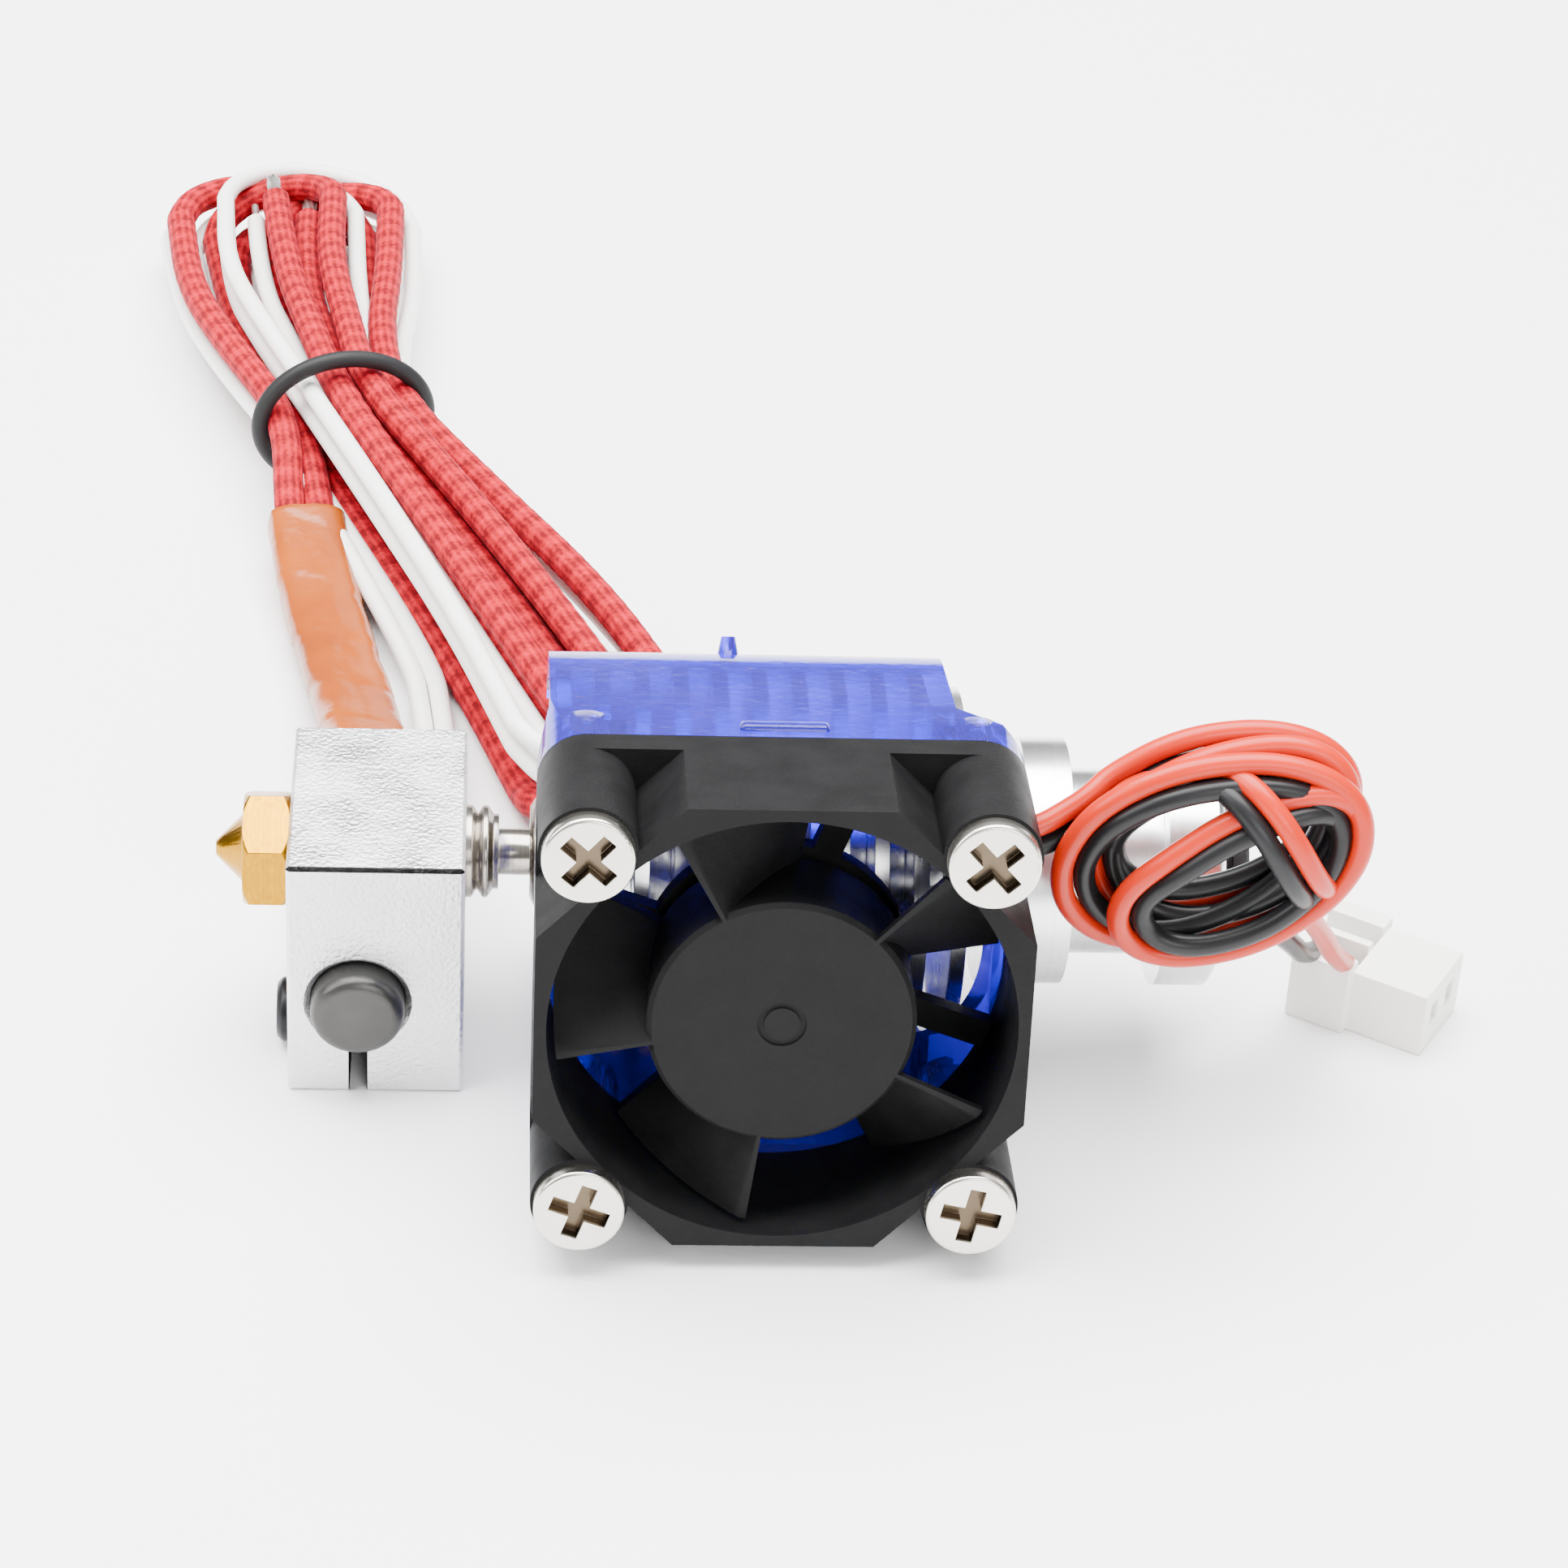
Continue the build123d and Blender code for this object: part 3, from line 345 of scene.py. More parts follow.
def braid_material():
    """Crimson glass fibre: paired strands on the diagonal, faded and fuzzy on their crowns."""
    material, nodes, links, shader = new_material("red_braid", (0.55, 0.02, 0.04), 0.72)
    shader.inputs["Specular IOR Level"].default_value = 0.10
    shader.inputs["Sheen Weight"].default_value = 0.05
    shader.inputs["Sheen Roughness"].default_value = 0.5
    shader.inputs["Sheen Tint"].default_value = (1.0, 0.30, 0.40, 1)
    place = nodes.new("ShaderNodeUVMap")
    split = nodes.new("ShaderNodeSeparateXYZ")
    links.new(place.outputs[0], split.inputs[0])
    crossing = []
    for sense in (1, -1):
        turned = nodes.new("ShaderNodeMath")
        turned.operation = "MULTIPLY"
        turned.inputs[1].default_value = sense * BRAID_STRANDS * 2 * math.pi
        links.new(split.outputs["Y"], turned.inputs[0])
        phase = nodes.new("ShaderNodeMath")
        phase.operation = "MULTIPLY_ADD"
        phase.inputs[1].default_value = 2 * math.pi * MM / BRAID_PITCH
        links.new(split.outputs["X"], phase.inputs[0])
        links.new(turned.outputs[0], phase.inputs[2])
        wave = nodes.new("ShaderNodeMath")
        wave.operation = "SINE"
        links.new(phase.outputs[0], wave.inputs[0])
        crossing.append(wave)
    weave = nodes.new("ShaderNodeMath")
    weave.operation = "MULTIPLY"
    links.new(crossing[0].outputs[0], weave.inputs[0])
    links.new(crossing[1].outputs[0], weave.inputs[1])
    fuzz_place = nodes.new("ShaderNodeTexCoord")
    fuzz = nodes.new("ShaderNodeTexNoise")
    fuzz.inputs["Scale"].default_value = 2600
    fuzz.inputs["Detail"].default_value = 6
    links.new(fuzz_place.outputs["Object"], fuzz.inputs["Vector"])
    mix = nodes.new("ShaderNodeMath")
    mix.operation = "MULTIPLY_ADD"
    mix.inputs[1].default_value = 0.28
    links.new(weave.outputs[0], mix.inputs[0])
    links.new(fuzz.outputs["Fac"], mix.inputs[2])
    ramp = nodes.new("ShaderNodeValToRGB")
    ramp.color_ramp.elements[0].position = 0.25
    ramp.color_ramp.elements[0].color = (0.13, 0.0008, 0.004, 1)
    ramp.color_ramp.elements[1].position = 0.85
    ramp.color_ramp.elements[1].color = (0.48, 0.005, 0.022, 1)
    middle = ramp.color_ramp.elements.new(0.55)
    middle.color = (0.33, 0.0012, 0.009, 1)
    links.new(mix.outputs[0], ramp.inputs[0])
    links.new(ramp.outputs[0], shader.inputs["Base Color"])
    bump = nodes.new("ShaderNodeBump")
    bump.inputs["Strength"].default_value = 0.5
    bump.inputs["Distance"].default_value = 0.00012
    links.new(mix.outputs[0], bump.inputs["Height"])
    links.new(bump.outputs[0], shader.inputs["Normal"])
    return material


red_braid = braid_material()
lead_ends = {}
for lead_name, spread, passes, stray, node in (
    ("heater_lead_a_braid", -HEATER_SPREAD, HEATER_A_PASSES, 0.4, "heater_lead_a"),
    ("heater_lead_b_braid", HEATER_SPREAD, HEATER_B_PASSES, 2.1, "heater_lead_b"),
):
    route = side_step(HEATER_ROUTE, spread) + hank_route(passes, stray, HEATER_FOLD)
    line = even_line(smooth_line(route), BRAID_STEP)
    lead = tube_along(lead_name, line, braid_radius, BRAID_SIDES)
    lead.data.materials.append(red_braid)
    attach(lead, "hotend")
    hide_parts(node)
    lead_ends[lead_name] = (line[-2], line[-1])
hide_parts("lead_hank")

# Stripped ends of the heater leads: tinned copper strands, twisted, standing out of the braid
# at the far fold of the hank.
TIP_LENGTH = 4.0
TIP_RADIUS = 0.55
TIP_SUNK = 0.2
TIP_STRANDS = 6
TIP_TWIST = 2.2
TIP_RELIEF = 0.10


def speckled(
    name, dark, light, roughness, metallic=0.0, grain=900, relief=0.00002, spread=0.12, shine=0.25
):
    """A material whose colour, gloss and surface vary softly with a fine grain of its own."""
    material, nodes, links, shader = new_material(name, light, roughness, metallic)
    shader.inputs["Specular IOR Level"].default_value = 0.5 if metallic else shine
    place = nodes.new("ShaderNodeTexCoord")
    cloud = nodes.new("ShaderNodeTexNoise")
    cloud.inputs["Scale"].default_value = grain * 0.35
    cloud.inputs["Detail"].default_value = 5
    links.new(place.outputs["Object"], cloud.inputs["Vector"])
    tint = nodes.new("ShaderNodeMix")
    tint.data_type = "RGBA"
    tint.inputs["A"].default_value = (*dark, 1)
    tint.inputs["B"].default_value = (*light, 1)
    links.new(cloud.outputs["Fac"], tint.inputs["Factor"])
    links.new(tint.outputs["Result"], shader.inputs["Base Color"])
    gloss = nodes.new("ShaderNodeMapRange")
    gloss.inputs["From Min"].default_value = 0.3
    gloss.inputs["From Max"].default_value = 0.7
    gloss.inputs["To Min"].default_value = max(0.02, roughness - spread / 2)
    gloss.inputs["To Max"].default_value = min(1.0, roughness + spread / 2)
    links.new(cloud.outputs["Fac"], gloss.inputs["Value"])
    links.new(gloss.outputs["Result"], shader.inputs["Roughness"])
    grit = nodes.new("ShaderNodeTexNoise")
    grit.inputs["Scale"].default_value = grain * 4
    grit.inputs["Detail"].default_value = 3
    links.new(place.outputs["Object"], grit.inputs["Vector"])
    bump = nodes.new("ShaderNodeBump")
    bump.inputs["Strength"].default_value = 0.6
    bump.inputs["Distance"].default_value = relief
    links.new(grit.outputs["Fac"], bump.inputs["Height"])
    links.new(bump.outputs[0], shader.inputs["Normal"])
    return material, nodes, links, shader


def twisted_radius(distance, angle):
    """The outline of a few tinned strands twisted together."""
    lobe = math.cos(TIP_STRANDS * angle + distance / MM * TIP_TWIST)
    return TIP_RADIUS * MM * (1 + TIP_RELIEF * lobe)


def bare_tip(lead_name, before, last, length, steps, radius_at, sides):
    """Tinned copper standing out of a lead's end, in line with it."""
    along = (last - before).normalized()
    line = [last + along * ((length * k / steps - TIP_SUNK) * MM) for k in range(steps + 1)]
    tip = tube_along(lead_name + "_tip", line, radius_at, sides)
    tip.data.materials.append(tinned_copper)
    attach(tip, "hotend")


tinned_copper = speckled("tinned_copper", (0.45, 0.44, 0.42), (0.75, 0.74, 0.72), 0.35, 1.0)[0]
for lead_name, (before, last) in lead_ends.items():
    bare_tip(lead_name, before, last, TIP_LENGTH, 12, twisted_radius, 36)

# Thermistor leads: two thin white sleeved wires. They leave the glass bead through the back of
# the block, run along beside the heater leads and are folded into the same hank.
SENSOR_SPREAD = 0.75
SENSOR_ROUTE = [
    (-43.8, 8.1, -3.4),
    (-43.8, 13.0, -3.4),
    (-43.5, 19.5, -6.8),
    (-43.7, 26.5, -10.6),
    (-44.2, 34.0, -12.2),
    (-45.0, 40.5, -11.7),
]
SENSOR_A_PASSES = [(-4.9, -1.2), (2.6, 1.2), (-2.6, 2.9), (4.9, -0.4), (-1.4, 0.9)]
SENSOR_B_PASSES = [(-3.9, -2.4), (4.6, -1.2), (1.1, -1.2), (4.2, -2.8), (-2.6, 0.9)]
SENSOR_FOLD = 3.2
SENSOR_TIP_LENGTH = 3.0
SENSOR_TIP_RADIUS = 0.3


def single_wire(distance, angle):
    """A plain round conductor."""
    return SENSOR_TIP_RADIUS * MM


white_sleeve, nodes, links, shader = speckled(
    "white_sleeve", (0.80, 0.79, 0.76), (0.90, 0.90, 0.88), 0.38, grain=500, relief=0.000008
)
shader.inputs["Coat Weight"].default_value = 0.25
shader.inputs["Coat Roughness"].default_value = 0.2
shader.inputs["Subsurface Weight"].default_value = 0.15
shader.inputs["Subsurface Radius"].default_value = (0.0005, 0.0004, 0.0003)
for lead_name, spread, passes, stray, node in (
    ("thermistor_lead_a_sleeve", -SENSOR_SPREAD, SENSOR_A_PASSES, 1.2, "thermistor_lead_a"),
    ("thermistor_lead_b_sleeve", SENSOR_SPREAD, SENSOR_B_PASSES, 3.3, "thermistor_lead_b"),
):
    route = side_step(SENSOR_ROUTE, spread) + hank_route(passes, stray, SENSOR_FOLD)
    line = smooth_line(route)
    lead = lead_curve(lead_name, route, SENSOR_LEAD_D)
    lead.data.materials.append(white_sleeve)
    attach(lead, "hotend")
    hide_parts(node)
    bare_tip(lead_name, line[-2], line[-1], SENSOR_TIP_LENGTH, 8, single_wire, 16)

# Film wrap: amber heat-proof tape rolled round both heater leads behind the block. It is
# thin, springy and shows its creases and the red braid through it.


def dress(piece, material, node=None, body="hotend"):
    """Gives a piece its material, hangs it on its body and hides the plain solids it stands for."""
    piece.data.materials.clear()
    piece.data.materials.append(material)
    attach(piece, body)
    if node:
        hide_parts(*([node] if isinstance(node, str) else node))


FILM_HALF = (2.95, 1.75)
FILM_TURN = 7.5
FILM_STEP = 0.09
FILM_CREASE = 0.10
FILM_FROM = 17.2
FILM_TO = 57.6
FILM_POINTS = 0.4

amber_film, nodes, links, shader = speckled(
    "amber_film", (0.10, 0.006, 0.001), (0.52, 0.115, 0.003), 0.24, grain=260, relief=0.00010, spread=0.1
)
shader.inputs["Transmission Weight"].default_value = 0.10
shader.inputs["IOR"].default_value = 1.6
film_line = even_line(smooth_line(HEATER_ROUTE), FILM_POINTS * MM)
film_line = [point for point in film_line if FILM_FROM * MM < point.y < FILM_TO * MM]


def film_radius(distance, angle):
    """A flattened round section, with the edge of each turn of film and a few soft creases."""
    flat = abs(math.cos(angle) / FILM_HALF[0]) ** 3 + abs(math.sin(angle) / FILM_HALF[1]) ** 3
    edge = (distance / MM / FILM_TURN + angle / (2 * math.pi)) % 1.0
    spot = Vector((distance / MM * 0.35, 2.5 * math.cos(angle), 2.5 * math.sin(angle)))
    crease = FILM_CREASE * noise.noise(spot)
    return (flat ** (-1 / 3) - FILM_STEP * edge + crease) * MM


wrap = tube_along("film_wrap", film_line, film_radius, 48)
dress(wrap, amber_film, "lead_wrap")

# Band: a thin black rubber ring, round in section and matt from its moulding. It is stretched
# over the hank's waist and holds all the passes together.


def worked_copy(node, name, flat_angle=1.0):
    """A plain solid's own mesh, welded and with its flat faces whole, ready for edge work."""
    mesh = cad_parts[node].data.copy()
    mesh.name = name
    mesh.materials.clear()
    piece = bpy.data.objects.new(name, mesh)
    bpy.context.scene.collection.objects.link(piece)
    take_up(piece)
    if mesh.has_custom_normals:
        bpy.ops.mesh.customdata_custom_splitnormals_clear()
    bpy.ops.object.mode_set(mode="EDIT")
    bpy.ops.mesh.select_all(action="SELECT")
    bpy.ops.mesh.remove_doubles(threshold=0.000002)
    if flat_angle:
        bpy.ops.mesh.dissolve_limited(angle_limit=math.radians(flat_angle))
    bpy.ops.object.mode_set(mode="OBJECT")
    return piece


def finish_edges(piece, width=0.0, segments=2, edge_angle=35, smooth_angle=40):
    """Breaks the piece's sharp edges by width millimetres and shades its curves smoothly."""
    take_up(piece)
    if width:
        bevel = piece.modifiers.new("edges", "BEVEL")
        bevel.width = width * MM
        bevel.segments = segments
        bevel.limit_method = "ANGLE"
        bevel.angle_limit = math.radians(edge_angle)
        bpy.ops.object.modifier_apply(modifier="edges")
    bpy.ops.object.shade_smooth_by_angle(angle=math.radians(smooth_angle))
    weight = piece.modifiers.new("weight", "WEIGHTED_NORMAL")
    weight.keep_sharp = True
    bpy.ops.object.modifier_apply(modifier="weight")


SOFT_BLACK = ((0.004, 0.004, 0.0045), (0.010, 0.010, 0.011))
black_rubber = speckled("black_rubber", *SOFT_BLACK, 0.6, grain=700)[0]
band = worked_copy("tie_band", "tie_ring", flat_angle=0)
finish_edges(band, smooth_angle=80)
dress(band, black_rubber, "tie_band")

# Plug: a milky two-way housing with an open-topped rear half, lying on its broad side. A crimp
# contact sits behind each lead.
white_nylon, nodes, links, shader = speckled(
    "white_nylon", (0.80, 0.79, 0.74), (0.90, 0.89, 0.86), 0.34, grain=300, relief=0.00001
)
shader.inputs["Subsurface Weight"].default_value = 0.5
shader.inputs["Subsurface Radius"].default_value = (0.002, 0.0018, 0.0015)
plug = worked_copy("connector_housing", "plug_housing")
finish_edges(plug, 0.18)
dress(plug, white_nylon, "connector_housing")
contacts = worked_copy("connector_terminals", "plug_contacts")
finish_edges(contacts, 0.06)
dress(contacts, tinned_copper, "connector_terminals")

# Fan leads: a thin red and a thin black wire, side by side. They come out of the notch in the
# fan's side, are looped four times beside the groove and end in a two-way plug on the table.
FAN_LEAD_D = 1.4
EXIT_RED = [(-7.9, -13.3, 11.5), (-6.6, -13.2, 11.7), (-5.0, -12.6, 12.4), (-3.4, -12.2, 13.4)]
EXIT_BLACK = [(-7.9, -13.0, 10.0), (-6.6, -13.0, 10.0), (-5.0, -12.7, 10.6), (-3.5, -12.4, 11.8)]
TAIL_RED = [(9.6, -11.6, 4.6), (11.6, -8.8, 2.4), (13.6, -5.4, -1.6), (15.4, -2.0, -6.0), (17.2, 1.4, -9.2)]
TAIL_BLACK = [(7.8, -11.4, 3.6), (10.0, -8.0, 0.4), (12.2, -4.0, -3.6), (13.8, 0.0, -7.4), (15.8, 3.8, -9.6)]
LOOP_CENTRE = (4.3, -13.2, 10.0)
LOOP_TILT = math.radians(29)
# One row for each turn: shift along and across the loop, half length, half height, depth
LOOP_TURNS = [
    (0.4, 0.0, 9.4, 7.4, 2.3),
    (1.4, 1.9, 8.2, 4.4, 0.8),
    (-0.2, 0.0, 9.9, 7.6, -0.7),
    (1.6, -1.6, 8.0, 4.4, -2.2),
    (0.8, 0.6, 8.6, 6.2, 1.4),
]
LOOPS = 4
POINTS_A_TURN = 14
LOOP_INSET_RISE = 0.85
LOOP_SQUARENESS = 1.6
LOOP_TAPER = 0.22
LOOP_WAVE = 0.35
# The last half turn goes over the whole bundle near its right end and draws it together.
WRAP_ALONG = 5.6
WRAP_HALF = (5.3, 3.9)
WRAP_POINTS = 8
WRAP_FIRST_ANGLE = 115
WRAP_ANGLE_STEP = 28
WRAP_LEAD_IN = 4.0


def loop_place(along, across, depth):
    """A point of the loops' own tilted frame, in millimetres."""
    return (
        LOOP_CENTRE[0] + along * math.cos(LOOP_TILT) - across * math.sin(LOOP_TILT),
        LOOP_CENTRE[1] + depth,
        LOOP_CENTRE[2] + along * math.sin(LOOP_TILT) + across * math.cos(LOOP_TILT),
    )


def loop_route(first_angle, inset, depth):
    """Control points of a fan lead's loops, clockwise from the left end over the top."""
    total = 2 * math.pi * LOOPS
    count = POINTS_A_TURN * LOOPS
    points = []
    for step in range(count + 1):
        turned_by = total * step / count
        angle = first_angle - turned_by
        at = min(turned_by / (2 * math.pi), len(LOOP_TURNS) - 1.001)
        row, share = int(at), at - int(at)
        here = [a + (b - a) * share for a, b in zip(LOOP_TURNS[row], LOOP_TURNS[row + 1])]
        shift, rise, half_length, half_height, layer = here
        half_height -= LOOP_INSET_RISE * inset
        straight = half_length - inset - half_height
        swing = math.tanh(LOOP_SQUARENESS * math.cos(angle)) / math.tanh(LOOP_SQUARENESS)
        narrowed = 1 - LOOP_TAPER * max(0.0, math.cos(angle))
        along = shift + straight * swing + half_height * math.cos(angle)
        across = (rise + half_height * math.sin(angle)) * narrowed
        wave = LOOP_WAVE * math.sin(2 * angle + inset)
        points.append(loop_place(along, across, layer + depth + wave))
    return points


def wrap_route(step_along, loosen):
    """Control points of the turn over the bundle: across its top, down its front and under."""
    points = []
    for step in range(WRAP_POINTS):
        angle = math.radians(WRAP_FIRST_ANGLE - WRAP_ANGLE_STEP * step)
        along = WRAP_ALONG + step_along - WRAP_LEAD_IN * max(0.0, 1 - step / 4) ** 2
        across = (WRAP_HALF[0] + loosen) * math.sin(angle)
        depth = -(WRAP_HALF[1] + loosen) * math.cos(angle)
        points.append(loop_place(along, across, depth))
    return points


red_vinyl, nodes, links, shader = speckled(
    "red_vinyl", (0.44, 0.012, 0.001), (0.54, 0.020, 0.001), 0.34, grain=400, relief=0.00001
)
shader.inputs["Coat Weight"].default_value = 0.08
black_vinyl = speckled("black_vinyl", *SOFT_BLACK, 0.36, grain=400, relief=0.00001)[0]
RED_LEAD = {
    "name": "fan_lead_red_wire",
    "start": EXIT_RED,
    "tail": TAIL_RED,
    "first_angle": math.radians(112),
    "inset": 0.0,
    "depth": 0.0,
    "wrap_shift": 0.0,
    "wrap_loose": 0.0,
    "material": red_vinyl,
    "slot": "red_insulation",
    "solids": ("fan_lead_red", "fan_tail_red", "fan_lead_hank"),
}
BLACK_LEAD = {
    "name": "fan_lead_black_wire",
    "start": EXIT_BLACK,
    "tail": TAIL_BLACK,
    "first_angle": math.radians(118),
    "inset": 1.5,
    "depth": -0.3,
    "wrap_shift": -1.5,
    "wrap_loose": 0.1,
    "material": black_vinyl,
    "slot": "black_insulation",
    "solids": ("fan_lead_black", "fan_tail_black"),
}
for wire in (RED_LEAD, BLACK_LEAD):
    route = wire["start"] + loop_route(wire["first_angle"], wire["inset"], wire["depth"])
    route += wrap_route(wire["wrap_shift"], wire["wrap_loose"]) + wire["tail"]
    line = smooth_line(route)
    lead = lead_curve(wire["name"], route, FAN_LEAD_D)
    dress(lead, wire["material"], wire["solids"])

# Heatsink: turned aluminium with deep thin fins, a collar, the mounting groove and an end
# flange. The lathe leaves fine rings on every face.
RING_SCALE = 5200
RING_RELIEF = 0.00001


def turned_metal(name, dark, light, roughness):
    """Bare turned metal: fine rings round the filament axis on its ends and its sides."""
    material, nodes, links, shader = new_material(name, light, roughness, 1.0)
    place = nodes.new("ShaderNodeTexCoord")
    split = nodes.new("ShaderNodeSeparateXYZ")
    links.new(place.outputs["Object"], split.inputs[0])
    flat = nodes.new("ShaderNodeCombineXYZ")
    for axis in ("Y", "Z"):
        links.new(split.outputs[axis], flat.inputs[axis])
    radius = nodes.new("ShaderNodeVectorMath")
    radius.operation = "LENGTH"
    links.new(flat.outputs[0], radius.inputs[0])
    ring_place = nodes.new("ShaderNodeCombineXYZ")
    links.new(split.outputs["X"], ring_place.inputs["X"])
    links.new(radius.outputs["Value"], ring_place.inputs["Y"])
    rings = nodes.new("ShaderNodeTexNoise")
    rings.inputs["Scale"].default_value = RING_SCALE
    rings.inputs["Detail"].default_value = 4
    links.new(ring_place.outputs[0], rings.inputs["Vector"])
    cloud = nodes.new("ShaderNodeTexNoise")
    cloud.inputs["Scale"].default_value = 220
    links.new(place.outputs["Object"], cloud.inputs["Vector"])
    tint = nodes.new("ShaderNodeMix")
    tint.data_type = "RGBA"
    tint.inputs["A"].default_value = (*dark, 1)
    tint.inputs["B"].default_value = (*light, 1)
    links.new(rings.outputs["Fac"], tint.inputs["Factor"])
    links.new(tint.outputs["Result"], shader.inputs["Base Color"])
    gloss = nodes.new("ShaderNodeMapRange")
    gloss.inputs["To Min"].default_value = roughness - 0.08
    gloss.inputs["To Max"].default_value = roughness + 0.10
    links.new(cloud.outputs["Fac"], gloss.inputs["Value"])
    links.new(gloss.outputs["Result"], shader.inputs["Roughness"])
    bump = nodes.new("ShaderNodeBump")
    bump.inputs["Strength"].default_value = 0.5
    bump.inputs["Distance"].default_value = RING_RELIEF
    links.new(rings.outputs["Fac"], bump.inputs["Height"])
    links.new(bump.outputs[0], shader.inputs["Normal"])
    return material


turned_aluminium = turned_metal("turned_aluminium", (0.72, 0.73, 0.74), (0.93, 0.93, 0.94), 0.26)
heatsink = worked_copy("heatsink", "finned_body")
finish_edges(heatsink, 0.07)
dress(heatsink, turned_aluminium, "heatsink")

# Collet: a black plastic push ring whose jaws grip the filament tube. It slides in a turned
# brass seat that is pressed into the end of the heatsink.
black_plastic = speckled(
    "black_plastic", (0.004, 0.004, 0.0045), (0.012, 0.012, 0.013), 0.40, grain=600
)[0]
turned_brass = turned_metal("turned_brass", (0.22, 0.09, 0.0008), (0.52, 0.26, 0.002), 0.20)
collet = worked_copy("collet", "push_collet")
finish_edges(collet, 0.12)
dress(collet, black_plastic, "collet", "release_collet")
seat = worked_copy("collet_seat", "collet_seat_ring")
finish_edges(seat, 0.1)
dress(seat, turned_brass, "collet_seat")

# Heatbreak: a stainless tube with fine threads each side of a thin neck, faintly straw
# coloured by heat.
turned_steel = turned_metal("turned_steel", (0.20, 0.18, 0.155), (0.52, 0.48, 0.42), 0.20)
heatbreak = worked_copy("heatbreak", "threaded_neck")
finish_edges(heatbreak, 0.05)
dress(heatbreak, turned_steel, "heatbreak")

# Nozzle: turned brass, with a hexagon for the spanner and a blunt cone with a fine hole. It is
# screwed up tight against the heatbreak inside the block.
nozzle = worked_copy("nozzle", "hex_nozzle")
finish_edges(nozzle, 0.08)
dress(nozzle, turned_brass, "nozzle")

# Heater block: milled aluminium, clamped round the cartridge by its slit. Its faces keep coarse
# bright mill marks. Shade is painted dark into the slit and a dark reflection along the front edge.
SLIT_X = -48.2
SLIT_TOP = -7.0
SLIT_MARK_HALF = 0.62
SLIT_MARK_OVER = 0.1
# Painted shade in the slit, and a painted dark reflection along the front top edge.
DARK_EDGE_DEPTH = 0.30
DARK_EDGE_HEIGHT = 0.22
BLOCK_PAINTED_DARK = (0.012, 0.012, 0.012, 1)


def within(nodes, links, socket, middle, half):
    """A mask: 1 where a coordinate lies within half of its middle, else 0."""
    inside = nodes.new("ShaderNodeMath")
    inside.operation = "COMPARE"
    inside.inputs[1].default_value = middle
    inside.inputs[2].default_value = half
    links.new(socket, inside.inputs[0])
    return inside


def both(nodes, links, first, second):
    """A mask: 1 where both of two masks are 1."""
    product = nodes.new("ShaderNodeMath")
    product.operation = "MULTIPLY"
    links.new(first.outputs[0], product.inputs[0])
    links.new(second.outputs[0], product.inputs[1])
    return product


def lay_painted_shade(nodes, links, shader, mask, colour):
    """Lays a colour of painted shade over the material's own where the mask is 1."""
    over = nodes.new("ShaderNodeMix")
    over.data_type = "RGBA"
    over.inputs["B"].default_value = colour
    links.new(mask.outputs[0], over.inputs["Factor"])
    links.new(shader.inputs["Base Color"].links[0].from_socket, over.inputs["A"])
    links.new(over.outputs["Result"], shader.inputs["Base Color"])


milled, nodes, links, shader = speckled(
    "milled_aluminium",
    (0.52, 0.52, 0.53),
    (0.84, 0.84, 0.85),
    0.44,
    1.0,
    grain=800,
    relief=0.00022,
    spread=0.30,
)
place = nodes.new("ShaderNodeTexCoord")
split = nodes.new("ShaderNodeSeparateXYZ")
links.new(place.outputs["Object"], split.inputs[0])
block_low, block_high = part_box("heater_block")
slit_middle = (block_low.z + SLIT_TOP * MM) / 2
slit_half = (SLIT_TOP * MM - block_low.z) / 2 + SLIT_MARK_OVER * MM
# Mask of the slit, where shade is painted dark.
slit = both(
    nodes,
    links,
    within(nodes, links, split.outputs["X"], SLIT_X * MM, SLIT_MARK_HALF * MM),
    within(nodes, links, split.outputs["Z"], slit_middle, slit_half),
)
# Mask of the front top edge, where a dark reflection is painted.
dark_edge_line = both(
    nodes,
    links,
    within(nodes, links, split.outputs["Y"], block_low.y, DARK_EDGE_DEPTH * MM),
    within(nodes, links, split.outputs["Z"], block_high.z, DARK_EDGE_HEIGHT * MM),
)
marks = nodes.new("ShaderNodeMath")
marks.operation = "MAXIMUM"
links.new(slit.outputs[0], marks.inputs[0])
links.new(dark_edge_line.outputs[0], marks.inputs[1])
# Paints the shade into the slit and the dark reflection along the front top edge.
lay_painted_shade(nodes, links, shader, marks, BLOCK_PAINTED_DARK)
block = worked_copy("heater_block", "milled_block")
finish_edges(block, 0.22, segments=3)
dress(block, milled, "heater_block")

# Heater cartridge: a steel sleeve darkened by heat, sealed behind with white cement where its
# leads come out. The block's clamp screw holds it.
cartridge_steel = speckled(
    "cartridge_steel", (0.018, 0.018, 0.017), (0.075, 0.073, 0.07), 0.36, 0.8, grain=420, relief=0.00005
)[0]
cartridge = worked_copy("heater_cartridge", "heater_sleeve")
finish_edges(cartridge, 0.35, segments=4)
dress(cartridge, cartridge_steel, "heater_cartridge")
cement = speckled("cement", (0.62, 0.60, 0.55), (0.80, 0.78, 0.72), 0.85, grain=700, relief=0.0001)[0]
seal = worked_copy("cartridge_seal", "cement_seal")
finish_edges(seal, 0.15)
dress(seal, cement, "cartridge_seal")

